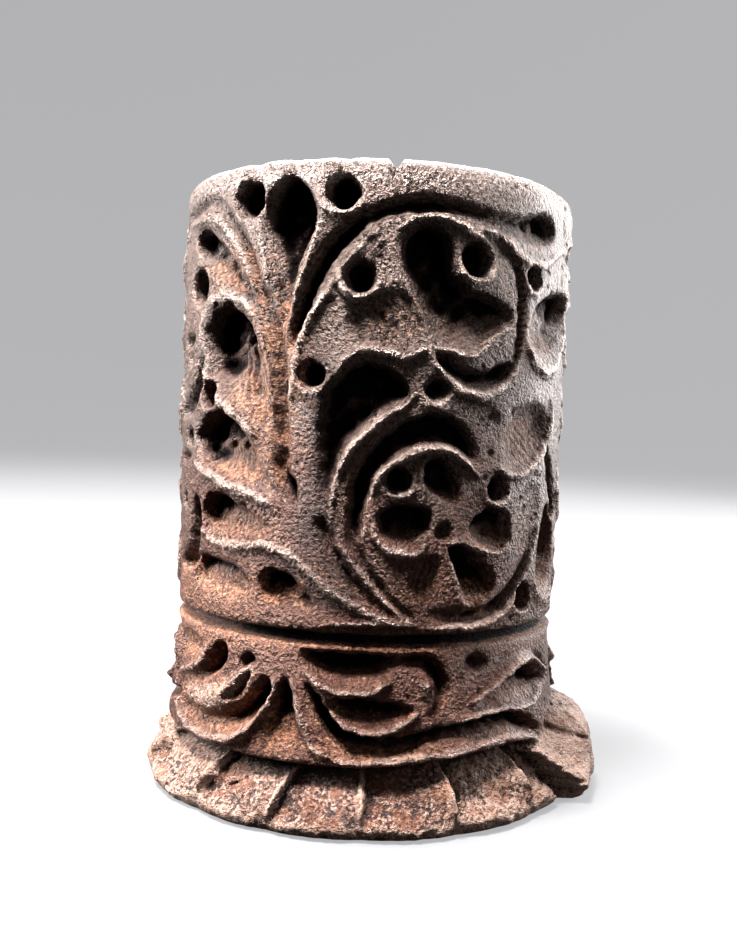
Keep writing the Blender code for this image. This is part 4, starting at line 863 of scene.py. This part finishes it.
# The foot's crust is palest on its ribs, its edge and the bent piece, partly rubbed and partly a painted
# highlight, and towards both sides of the front, which is painted light.
pale_and_highlight = np.maximum(rib, np.maximum(0.8 * foot_edge, 0.6 * bent))
pale_and_highlight = pale_and_highlight + 0.6 * ramp(degrees, 10, 44) * ramp(degrees, 120, 90)
pale_and_highlight = pale_and_highlight + 0.2 * ramp(-degrees, 20, 44) * ramp(-degrees, 110, 80)
# The brown grows warmer towards the foot.
warm = 1 - ramp(z + 2.0 * wobble(s, z, 9.0, 21), 8, 44)


def patched(patches, at_the_back=1.0):
    """The strongest of some soft patches at each point, and of the same again at the back."""
    total = np.zeros(s.shape)
    for shift, part in ((0.0, 1.0), (REPEAT, at_the_back)):
        for at_s, at_z, half_s, half_z, share in patches:
            away = (sideways(s, at_s + shift) / half_s) ** 2 + ((z - at_z) / half_z) ** 2
            total = np.maximum(total, part * share * np.exp(-away))
    return total


# Rust and earth stay on the ramps at the left and low down, in soft patches that fade outwards; on the left
# ramps their warm colour is partly painted light. A patch is (s, z, half width, half height, share).
RUST_PATCHES = (
    (-12.5, 43.6, 4.6, 2.4, 0.75), (-9.0, 35.2, 4.2, 5.2, 1.0), (-7.4, 34.0, 1.5, 8.5, 0.95),
    (-10.5, 28.8, 5.0, 2.6, 1.0), (-11.5, 23.4, 5.0, 2.0, 0.75), (-13.0, 18.0, 7.0, 2.4, 0.9),
    (-18.5, 18.0, 4.0, 2.6, 1.0), (-16.0, 15.2, 9.0, 1.5, 1.2), (-13.0, 8.6, 7.5, 3.4, 0.85),
    (-6.3, 7.2, 2.0, 2.0, 1.0), (-17.0, 12.6, 5.0, 1.8, 0.9), (-5.2, 45.6, 0.8, 3.0, 0.5),
    (-9.6, 41.0, 1.6, 4.0, 0.6), (0.0, 6.4, 8.0, 1.3, 0.8), (0.0, 15.0, 9.0, 0.9, 0.5),
    (13.0, 7.2, 6.0, 1.2, 0.6), (13.8, 31.0, 3.2, 2.6, 0.75), (16.2, 39.0, 3.0, 2.4, 0.6),
    (13.5, 46.8, 4.0, 0.9, 0.5), (9.5, 22.6, 3.0, 1.4, 0.4), (9.2, 18.6, 2.6, 1.6, 0.5),
    (11.5, 15.4, 8.0, 1.4, 0.7), (19.0, 19.0, 2.8, 2.6, 0.9), (14.0, 10.0, 4.4, 1.2, 0.6),
    (-5.0, 19.0, 4.0, 2.4, 0.6), (1.0, 18.4, 4.0, 2.0, 0.4), (-18.5, 40.0, 3.0, 9.0, 0.35),
    (-12.0, 28.0, 9.0, 16.0, 0.34), (0.0, 9.0, 24.0, 6.0, 0.34), (4.0, 17.0, 18.0, 5.0, 0.30),
    (18.5, 6.4, 3.0, 2.0, 0.7), (25.0, 22.0, 7.0, 10.0, 0.45), (27.0, 42.0, 5.0, 6.0, 0.35),
    (14.0, 14.1, 10.0, 0.6, 1.4), (-14.0, 14.2, 10.0, 0.7, 1.6), (0.0, 14.2, 9.0, 0.4, 1.1),
)
LEAF_RUST, BACK_RUST = 0.85, 0.6
leaf_rust = tuple((*floor[:4], LEAF_RUST) for floor in vine_floors)
rust_and_light = np.minimum(patched(RUST_PATCHES + leaf_rust, BACK_RUST), 1)

# The skin is darker in soft patches, mostly low in the middle: patches as above.
dark = patched((
    (-3.6, 30.0, 1.6, 7.0, 1.0), (-4.0, 24.0, 2.4, 5.0, 0.9), (-3.0, 19.8, 4.5, 2.6, 1.1),
    (2.0, 16.9, 4.0, 1.2, 0.5), (6.5, 40.5, 4.5, 3.0, 0.35), (12.0, 35.5, 3.5, 4.0, 0.45),
    (15.5, 26.5, 3.0, 5.0, 0.35), (9.5, 13.2, 4.0, 1.2, 0.5), (-7.4, 40.0, 1.0, 5.0, 0.75),
    (-7.2, 30.0, 0.8, 5.0, 0.6), (3.0, 13.4, 6.0, 1.0, 0.4), (-20.0, 30.0, 2.0, 9.0, 0.3),
    (26.0, 34.0, 4.0, 12.0, 0.4),
))

# The rim and the top. The rim is knocked, with one notch that has started a crack down the side, and the top
# is a little dished and dented by hammering. Notches as (s, half width, depth, reach towards the middle).
NOTCHES = ((1.3, 0.62, 0.85, 2.6), (-5.2, 1.6, 0.16, 1.5), (-14.0, 2.6, 0.22, 2.0), (12.5, 2.2, 0.15, 1.8),
           (31.0, 1.2, 0.35, 2.0), (47.0, 2.4, 0.25, 2.2), (-33.0, 1.8, 0.30, 2.0))
TOP_DISH = 0.28
TOP_DENTS = 0.10


def top_height(angle, r):
    """Height of the top under its knocks, at a distance from the axis in millimetres."""
    at = np.radians(angle) * RADIUS
    inside = np.clip(r / (RADIUS - RIM_ROUNDING), 0, 1)
    dents = wobble(r * np.sin(np.radians(angle)), r * np.cos(np.radians(angle)), 5.0, 51)
    level = HEIGHT - TOP_DISH * (1 - inside**3) - 0.02 - TOP_DENTS * (1 + dents.clip(-1, 1)) * (1 - inside**6)
    for notch_s, half, depth, inward in NOTCHES:
        beside = np.abs(sideways(at, notch_s))
        reach = ramp(r, RADIUS - RIM_ROUNDING - inward, RADIUS - RIM_ROUNDING)
        level = level - depth * np.clip(1 - beside / half, 0, 1) ** 0.9 * reach
    return level


last = radius[-1]
over_radius, over_z = [], []
for turn in rim_turns:
    over_radius.append(last - RIM_ROUNDING * (1 - math.cos(turn)))
    over_z.append(np.full(columns, HEIGHT - RIM_ROUNDING * (1 - math.sin(turn))))
for r in top_radii:
    settled = last - RIM_ROUNDING - 0.2 * (RADIUS - RIM_ROUNDING - r)
    over_radius.append(np.minimum(np.full(columns, r), settled))
    over_z.append(np.full(columns, HEIGHT))
over_radius, over_z = np.array(over_radius), np.array(over_z)
under_radius = np.outer(under_shares[1:], radius[0])
all_radius = np.vstack([under_radius, radius, over_radius])
all_z = np.vstack([np.zeros(under_radius.shape), z, over_z])
all_degrees = np.broadcast_to(angles, all_radius.shape)
all_z = np.minimum(all_z, top_height(all_degrees, all_radius))

around = np.radians(all_degrees)
places = np.stack([all_radius * np.sin(around), -all_radius * np.cos(around), all_z], axis=-1).reshape(-1, 3)
top_point = (0, 0, float(top_height(np.zeros(1), np.zeros(1))[0]))
places = np.vstack([places, (0, 0, 0), top_point]) * MM

over_around = around[:len(over_radius)]
top_x, top_y = over_radius * np.sin(over_around), over_radius * np.cos(over_around)
blotch = 0.5 + 0.5 * wobble(top_x, top_y, 7.0, 52).clip(-1, 1)
inward = ramp(RADIUS - over_radius, 1.4, 3.2)
# The rim's rounding counts as half a crest, for its bare metal and painted sheen.
rim_crest = np.vstack([np.full((len(rim_turns), columns), 0.5), np.zeros((len(top_radii), columns))])


def carried_on(grid, below=0, over=0, top_middle=0):
    """A value of the side, carried on under the foot, over the top and to the middle of the top."""
    over_rows = np.broadcast_to(over, over_radius.shape)
    rows = np.vstack([np.full(under_radius.shape, below), grid, over_rows])
    return np.append(rows, (below, top_middle))


# What each point carries. "free" is 0 on the underside, which the relief leaves flat.
values = {
    "recess": carried_on(recess, 0, inward * (0.10 + 0.25 * blotch), 0.25),
    "crest": carried_on(crest, 0, rim_crest),
    "shut_in_shade": carried_on(shut_in_shade, 0.3),
    "low_ground": carried_on(low_ground, 0, inward * (0.50 + 0.45 * blotch), 0.7),
    "rust_and_light": carried_on(rust_and_light, 0.6, 0.1 + 0.12 * inward * (1 - blotch), 0.2),
    "foot": carried_on(on_foot, 1),
    "edge": carried_on(pale_and_highlight * on_foot),
    "break_shade": carried_on(break_shade),
    "rim": carried_on(rim, 0, 0.55 - 0.55 * inward),
    "warm": carried_on(warm, 0.8, 0.1 + 0.2 * inward, 0.3),
    "ridge": carried_on(ridge),
    "dark": carried_on(dark, 0, 0.25 * inward, 0.25),
    "comb": carried_on(comb),
    "comb_turns": carried_on(comb_turns),
    "free": carried_on(ramp(z, 0.05, 0.6), 0, 1, 1),
}

column = np.arange(columns)
after = (column + 1) % columns
last_row = (len(all_radius) - 1) * columns
low = (np.arange(len(all_radius) - 1) * columns)[:, None]
quads = np.stack([low + column, low + after, low + columns + after, low + columns + column], axis=-1)
quads = quads.reshape(-1, 4)
under_middle, over_middle = (np.full(columns, len(places) - back) for back in (2, 1))
caps = np.vstack([
    np.stack([after, column, under_middle], axis=1),
    np.stack([last_row + column, last_row + after, over_middle], axis=1),
])
skin = bpy.data.meshes.new("die_skin")
skin.vertices.add(len(places))
skin.vertices.foreach_set("co", places.astype(np.float32).ravel())
skin.loops.add(quads.size + caps.size)
skin.loops.foreach_set("vertex_index", np.concatenate([quads.ravel(), caps.ravel()]).astype(np.int32))
starts = np.concatenate([np.arange(len(quads)) * 4, len(quads) * 4 + np.arange(len(caps)) * 3])
skin.polygons.add(len(starts))
skin.polygons.foreach_set("loop_start", starts.astype(np.int32))
skin.update(calc_edges=True)
for name, value in values.items():
    skin.attributes.new(name, "FLOAT", "POINT").data.foreach_set("value", value.astype(np.float32))
skin.shade_smooth()
rough_die = bpy.data.objects.new("rough_die", skin)
bpy.context.scene.collection.objects.link(rough_die)


class Number:
    """A socket that holds a number. Sums written with it become Math nodes in its tree."""

    def __init__(self, nodes, socket):
        self.nodes, self.socket = nodes, socket

    def with_node(self, operation, *values):
        return self.nodes.add("ShaderNodeMath", {"operation": operation}, dict(enumerate(values)))

    def __add__(self, other):
        return self.with_node("ADD", self, other)

    def __radd__(self, other):
        return self.with_node("ADD", other, self)

    def __sub__(self, other):
        return self.with_node("SUBTRACT", self, other)

    def __rsub__(self, other):
        return self.with_node("SUBTRACT", other, self)

    def __mul__(self, other):
        return self.with_node("MULTIPLY", self, other)

    def __rmul__(self, other):
        return self.with_node("MULTIPLY", other, self)

    def __truediv__(self, other):
        return self.with_node("DIVIDE", self, other)

    def __rtruediv__(self, other):
        return self.with_node("DIVIDE", other, self)


class Nodes:
    """A node tree that grows one node at a time."""

    def __init__(self, tree):
        self.tree = tree

    def add(self, kind, settings=None, values=None, output=0):
        """Adds a node: its settings first, then the values or links of its sockets. Gives one output."""
        node = self.tree.nodes.new(kind)
        for name, value in (settings or {}).items():
            setattr(node, name, value)
        for name, value in (values or {}).items():
            if isinstance(value, Number):
                self.tree.links.new(value.socket, node.inputs[name])
            else:
                node.inputs[name].default_value = value
        return Number(self, node.outputs[output]) if node.outputs else None

    def between(self, value, low, high):
        """0 where value is at low, 1 at high, smooth between."""
        values = {"Value": value, "From Min": low, "From Max": high}
        return self.add("ShaderNodeMapRange", {"interpolation_type": "SMOOTHSTEP"}, values)

    def blend(self, factor, one, other):
        """A colour between one and other."""
        return self.add("ShaderNodeMix", {"data_type": "RGBA"}, {0: factor, 6: one, 7: other}, output=2)


# The cast and dug-up surface, in relief: a soft unevenness all over, a fine grain, pits in patches, and a
# coarse crust of grains on the foot.
relief = bpy.data.node_groups.new("bronze_relief", "GeometryNodeTree")
relief.interface.new_socket("Skin", in_out="INPUT", socket_type="NodeSocketGeometry")
RELIEF_SIZES = {
    "Unevenness size": 3.2, "Unevenness height": 0.12,
    "Grain size": 0.55, "Grain height": 0.09,
    "Pit size": 0.9, "Pit depth": 0.16,
    "Crust size": 0.6, "Crust height": 0.36,
    "Seed": 4.0,
}
for name in RELIEF_SIZES:
    relief.interface.new_socket(name, in_out="INPUT", socket_type="NodeSocketFloat")
relief.interface.new_socket("Finish", in_out="INPUT", socket_type="NodeSocketMaterial")
relief.interface.new_socket("Skin", in_out="OUTPUT", socket_type="NodeSocketGeometry")
g = Nodes(relief)
group_in = relief.nodes.new("NodeGroupInput")
given = {socket.name: Number(g, socket) for socket in group_in.outputs}


def named(name):
    """A value that each point of the skin carries."""
    return g.add("GeometryNodeInputNamedAttribute", {"data_type": "FLOAT"}, {"Name": name})


def noise(place, size, seed, detail, roughness=0.5):
    """Noise from about -0.5 to 0.5 with features of a size."""
    values = {"Vector": place, "W": seed, "Scale": 1 / size, "Detail": detail, "Roughness": roughness}
    return g.add("ShaderNodeTexNoise", {"noise_dimensions": "4D"}, values) - 0.5


position = g.add("GeometryNodeInputPosition")
place = g.add("ShaderNodeVectorMath", {"operation": "SCALE"}, {0: position, "Scale": 1 / MM})
seed = given["Seed"]
recess_value, foot_value, free_value = named("recess"), named("foot"), named("free")
uneven = noise(place, given["Unevenness size"], seed, 2.0) * given["Unevenness height"] * 2
grain = noise(place, given["Grain size"], seed + 3, 4.0, 0.65) * given["Grain height"] * 2
grain = grain * (0.55 + recess_value * 0.9)
cells = g.add("ShaderNodeTexVoronoi", {"feature": "F1", "voronoi_dimensions": "4D"},
              {"Vector": place, "W": seed, "Scale": 1 / given["Pit size"]})
some = g.between(noise(place, 2.5, seed + 9, 2.0), 0.02, 0.12)
pit = g.between(cells, 0.42, 0.15) * some * given["Pit depth"]
lumps = g.add("ShaderNodeTexVoronoi", {"feature": "SMOOTH_F1", "voronoi_dimensions": "4D"},
              {"Vector": place, "W": seed + 5, "Scale": 1 / given["Crust size"], "Smoothness": 0.4})
coarse = noise(place, given["Crust size"] * 1.6, seed + 7, 5.0, 0.7)
crust = (coarse * 1.5 + (0.4 - lumps) * 0.55) * given["Crust height"] * foot_value
height = (uneven + grain - pit + crust) * free_value * MM
normal = g.add("GeometryNodeInputNormal")
offset = g.add("ShaderNodeVectorMath", {"operation": "SCALE"}, {0: normal, "Scale": height})
moved = g.add("GeometryNodeSetPosition", None, {"Geometry": given["Skin"], "Offset": offset})
real = g.add("GeometryNodeRealizeInstances", None, {"Geometry": moved})
finished = g.add("GeometryNodeSetMaterial", None, {"Geometry": real, "Material": given["Finish"]})
group_out = relief.nodes.new("NodeGroupOutput")
relief.links.new(finished.socket, group_out.inputs[0])

# Bronze under a dark brown skin: bare and greyish where hands and table have rubbed it, with painted
# highlight and sheen on crests, ridges and rim; black with dirt and painted shade in the cuts; rusty with
# earth in the ramps, warmer there partly as painted light; and a pale sandy crust on the foot, with painted
# highlight on its edges and painted shade in the break.
bronze = bpy.data.materials.new("old_bronze")
bronze.use_nodes = True
bronze.node_tree.nodes.clear()
m = Nodes(bronze.node_tree)
GROUND_DARK = (0.012, 0.0065, 0.0052, 1)
GROUND = (0.082, 0.053, 0.043, 1)
GROUND_LIGHT = (0.165, 0.122, 0.104, 1)
WARM_GROUND = (0.064, 0.0255, 0.0165, 1)
DEEP_DIRT_AND_SHADE = (0.0050, 0.0022, 0.0016, 1)
RUST_DARK = (0.018, 0.0062, 0.0036, 1)
RUST = (0.115, 0.038, 0.0155, 1)
RUST_SHADE = (0.040, 0.0120, 0.0072, 1)
RUST_PALE = (0.27, 0.130, 0.070, 1)
BARE_AND_SHEEN = (0.42, 0.345, 0.315, 1)
RUBBED_AND_HIGHLIGHT = (0.38, 0.285, 0.245, 1)
SAND = (0.100, 0.0440, 0.0300, 1)
SAND_PALE = (0.30, 0.190, 0.145, 1)
SAND_DARK = (0.016, 0.0068, 0.0048, 1)


def carried(name):
    """A value that each point of the skin carries, for the finish."""
    return m.add("ShaderNodeAttribute", {"attribute_name": name}, output="Fac")


def speckle(size, detail=3.0, roughness=0.6, distortion=0.0):
    """Noise about 0.5 with features of a size in millimetres. Distortion draws them out into strokes."""
    values = {"Vector": spot, "Scale": 1 / size, "Detail": detail, "Roughness": roughness,
              "Distortion": distortion}
    return m.add("ShaderNodeTexNoise", None, values)


coordinates = m.add("ShaderNodeTexCoord", output="Object")
spot = m.add("ShaderNodeVectorMath", {"operation": "SCALE"}, {0: coordinates, "Scale": 1 / MM})
recess_on, crest_on, shut_in_shade_on, low_on, rust_and_light_on, foot_on, foot_pale_and_highlight_on = (
    carried(name) for name in ("recess", "crest", "shut_in_shade", "low_ground", "rust_and_light", "foot", "edge")
)
break_shade_on, rim_on, warm_on, comb_on, turns_on, ridge_on, dark_on = (
    carried(name) for name in ("break_shade", "rim", "warm", "comb", "comb_turns", "ridge", "dark")
)
fine, grains = speckle(0.12, 2.0), speckle(0.30, 3.0, 0.62, 0.35)
medium, broad = speckle(1.0, 4.0), speckle(4.5, 3.0)
grit = grains * 0.7 + fine * 0.3

# The graver's chatter: fine ridges and the furrows between them, the furrows coloured darker and the ridges
# paler.
turned_by = (turns_on + (medium - 0.5) * 1.6 + (grains - 0.5) * 0.8) * (2 * math.pi)
wave = turned_by.with_node("SINE", turned_by)
ridges_here = m.between(wave, -0.5, 0.8) * comb_on
furrows_here = m.between(wave, 0.2, -0.8) * comb_on

# The dark skin, warmer low down, with dark and light grains in it.
colour = m.between(warm_on + (broad - 0.5) * 0.8 + rust_and_light_on * 0.4, 0.10, 0.90)
colour = m.blend(colour, GROUND, WARM_GROUND)
colour = m.blend(m.between(grit, 0.485, 0.39) * (1 - warm_on * 0.4), colour, GROUND_DARK)
light_here = m.between(grit + (medium - 0.5) * 0.3, 0.54, 0.66) * (1 - warm_on * 0.5)
colour = m.blend(light_here * 0.7, colour, GROUND_LIGHT)
colour = m.blend(m.between(dark_on + (medium - 0.5) * 0.6, 0.0, 1.0) * 0.75, colour, GROUND_DARK)

# Rust and earth, mostly in the cuts and partly painted light on the left ramps, and a painted brown shade
# further in.
rust_and_light_here = m.between(rust_and_light_on * 1.1 + (grains - 0.5) * 1.4 + (medium - 0.5) * 1.6, 0.38, 0.80)
rust_and_light_here = rust_and_light_here * (0.45 + m.between(recess_on + shut_in_shade_on * 0.4, 0.02, 0.20) * 0.55)
rust_colour = m.blend(m.between(grit, 0.50, 0.60), RUST, RUST_PALE)
rust_colour = m.blend(m.between(grit, 0.485, 0.42), rust_colour, RUST_DARK)
colour = m.blend(rust_and_light_here, colour, rust_colour)
colour = m.blend(furrows_here * 0.75, colour, RUST_DARK)
colour = m.blend(ridges_here * 0.28, colour, RUST_PALE)
# Painted shade: brown on the walls and floors of the cuts.
shade_here = m.between(recess_on + shut_in_shade_on * 0.25 + (grains - 0.5) * 0.5, 0.48, 1.0)
colour = m.blend(shade_here * 0.75, colour, RUST_SHADE)

# Black at the bottom of the cuts where no earth has filled them: dark dirt and painted shade, strongest in
# recesses, shut-in places and low ground.
earth_here = m.between(rust_and_light_on, 0.78, 0.98)
dirt_and_shade_here = recess_on * 0.85 + low_on * 0.5 + shut_in_shade_on * 0.35 + (grains - 0.5) * 0.9
dirt_and_shade_here = m.between(dirt_and_shade_here - rust_and_light_here * 0.35 - earth_here * 0.45, 0.58, 1.1)
colour = m.blend(dirt_and_shade_here, colour, DEEP_DIRT_AND_SHADE)

# Bare metal on crests and the rim, partly worn and partly a painted highlight and sheen, and on the ridges a
# painted highlight over metal that hands have rubbed.
bare_and_sheen_here = crest_on * 0.28 + ridge_on * 0.06 + rim_on * 0.62 - dark_on * 0.2 + (grit - 0.5) * 1.4
bare_and_sheen_here = m.between(bare_and_sheen_here, 0.30, 1.0) * (1 - dirt_and_shade_here)
colour = m.blend(bare_and_sheen_here * 0.55, colour, BARE_AND_SHEEN)
rubbed_and_highlight_here = m.between(ridge_on + (medium - 0.5) * 0.5, 0.35, 1.0) * (1 - dirt_and_shade_here)
colour = m.blend(rubbed_and_highlight_here * (1 - dark_on * 0.5) * 0.36, colour, RUBBED_AND_HIGHLIGHT)

# The sandy crust of the foot, paler on its edges with a painted highlight, and with painted shade on the
# faces of the break.
gravel = speckle(0.32, 3.0, 0.7)
sand = m.blend(m.between(gravel + foot_pale_and_highlight_on * 0.16 - shut_in_shade_on * 0.06, 0.48, 0.64), SAND, SAND_PALE)
dark_sand = gravel * 0.7 + medium * 0.3 - shut_in_shade_on * 0.14 + foot_pale_and_highlight_on * 0.08
sand = m.blend(m.between(dark_sand, 0.495, 0.43), sand, SAND_DARK)
sand = m.blend(m.between(broad * 0.5 + medium * 0.5, 0.48, 0.58) * 0.6, sand, RUST)
# Painted shade on the faces of the break.
sand = m.blend(break_shade_on * 0.75, sand, SAND_DARK)
colour = m.blend(foot_on * 0.95, colour, sand)

roughness = 0.38 + (grains - 0.5) * 0.7 + dirt_and_shade_here * 0.45 + rust_and_light_here * 0.22 + foot_on * 0.25
roughness = roughness - bare_and_sheen_here * 0.08 - ridge_on * 0.12
metallic = (1 - rust_and_light_here * 0.8) * (1 - foot_on) * (0.55 + bare_and_sheen_here * 0.35 + dirt_and_shade_here * 0.30)
bumps = grains * (1.10 - crest_on * 0.2 - rim_on * 0.4) + fine * 0.22 + medium * 0.5
bumps = bumps + ridges_here * 0.22 + gravel * foot_on * 1.2
relief_normal = m.add("ShaderNodeBump", None, {"Strength": 1.0, "Distance": 0.00048, "Height": bumps})
shader = m.add("ShaderNodeBsdfPrincipled", None, {
    "Base Color": colour, "Roughness": roughness, "Metallic": metallic, "Normal": relief_normal,
    "Specular IOR Level": 0.28,
})
m.add("ShaderNodeOutputMaterial", None, {"Surface": shader})

# The relief is worked into the skin, which is then thinned to what one piece may hold and stands for the
# whole casting.
modifier = rough_die.modifiers.new("relief", "NODES")
modifier.node_group = relief
inputs = {item.name: item.identifier for item in relief.interface.items_tree if item.in_out == "INPUT"}
for name, value in RELIEF_SIZES.items():
    modifier[inputs[name]] = value
modifier[inputs["Finish"]] = bronze
thin = rough_die.modifiers.new("thin", "DECIMATE")
thin.ratio = SKIN_TRIANGLES / (2 * len(quads) + len(caps))
thin.use_collapse_triangulate = True
evaluated = rough_die.evaluated_get(bpy.context.evaluated_depsgraph_get())
mesh = bpy.data.meshes.new_from_object(evaluated)
bpy.data.objects.remove(rough_die)
mesh.name = "die_body"
mesh.shade_smooth()
die = bpy.data.objects.new("die_body", mesh)
bpy.context.scene.collection.objects.link(die)
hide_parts("die")
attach(die, "root")

# The floor: a plain pale sheet that curves up all round, far out.
FLAT_TO, CURVE_RADIUS, WALL_TOP, SIDES = 0.70, 0.50, 1.6, 72
INNER_RING, CURVE_STEPS = 0.25, 12
floor_mesh = bpy.data.meshes.new("floor")
curve = np.linspace(0, math.pi / 2, CURVE_STEPS + 1)[1:]
profile = [(INNER_RING, 0.0), (FLAT_TO, 0.0)]
profile += [(FLAT_TO + CURVE_RADIUS * math.sin(a), CURVE_RADIUS * (1 - math.cos(a))) for a in curve]
profile.append((FLAT_TO + CURVE_RADIUS, WALL_TOP))
around = np.linspace(0, 2 * math.pi, SIDES, endpoint=False)
floor_points = [(0, 0, 0)] + [(r * math.cos(a), r * math.sin(a), h) for r, h in profile for a in around]
floor_faces = [(0, 1 + k, 1 + (k + 1) % SIDES) for k in range(SIDES)]
for ring_at in range(len(profile) - 1):
    inner, outer = 1 + ring_at * SIDES, 1 + (ring_at + 1) * SIDES
    for k in range(SIDES):
        beyond = (k + 1) % SIDES
        floor_faces.append((inner + k, outer + k, outer + beyond, inner + beyond))
floor_mesh.from_pydata(floor_points, [], floor_faces)
floor_mesh.shade_smooth()
floor = bpy.data.objects.new("floor", floor_mesh)
bpy.context.scene.collection.objects.link(floor)
paper = bpy.data.materials.new("paper")
paper.use_nodes = True
paper_shader = paper.node_tree.nodes["Principled BSDF"]
paper_shader.inputs["Base Color"].default_value = (0.045, 0.045, 0.046, 1)
paper_shader.inputs["Emission Color"].default_value = (0.44, 0.44, 0.45, 1)
paper_shader.inputs["Emission Strength"].default_value = 1.0
paper_shader.inputs["Roughness"].default_value = 0.85
floor_mesh.materials.append(paper)
floor.visible_diffuse = False
floor.visible_glossy = False

# Soft studio lamps: one high over the front, one behind, one at each side and a weak one in front.
LAMPS = {
    "high": ((-0.09, -0.080, 0.37), 0.10, 12.0),
    "behind": ((0.0, 0.27, 0.32), 0.26, 4.0),
    "left": ((-0.33, 0.06, 0.15), 0.16, 6.4),
    "right": ((0.30, 0.19, 0.14), 0.28, 4.2),
    "front": ((0.26, -0.28, 0.09), 0.12, 0.32),
}
AIM = Vector((0, 0, 0.026))
for name, (at, size, power) in LAMPS.items():
    lamp = bpy.data.lights.new(name, "AREA")
    lamp.shape = "SQUARE"
    lamp.size = size
    lamp.energy = power
    holder = bpy.data.objects.new(name, lamp)
    turned = (AIM - Vector(at)).to_track_quat("-Z", "Y").to_matrix().to_4x4()
    holder.matrix_world = Matrix.Translation(at) @ turned
    bpy.context.scene.collection.objects.link(holder)
world = bpy.data.worlds.new("room")
world.use_nodes = True
world.node_tree.nodes["Background"].inputs["Color"].default_value = (0.9, 0.92, 0.95, 1)
world.node_tree.nodes["Background"].inputs["Strength"].default_value = 0.05
bpy.context.scene.world = world
bpy.context.scene.view_settings.view_transform = "Standard"

# The camera stands close, as a phone does, a little above the rim and tilted slightly down.
R = RADIUS * MM
CAMERA_AT = (-0.004 * R, -5.712 * R, 1.912 * R)
TILT, ROLL = 0.058, 0.036
LENS_PIXELS, FRAME_PIXELS, SENSOR = 1050, 952, 36
camera = bpy.data.cameras.new("camera")
camera.sensor_fit = "VERTICAL"
camera.sensor_height = SENSOR
camera.lens = LENS_PIXELS / FRAME_PIXELS * SENSOR
camera.clip_start = 0.005
viewer = bpy.data.objects.new("camera", camera)
standing = Matrix.Rotation(math.pi / 2 - TILT, 4, "X")
viewer.matrix_world = Matrix.Translation(CAMERA_AT) @ standing @ Matrix.Rotation(ROLL, 4, "Z")
bpy.context.scene.collection.objects.link(viewer)
bpy.context.scene.camera = viewer
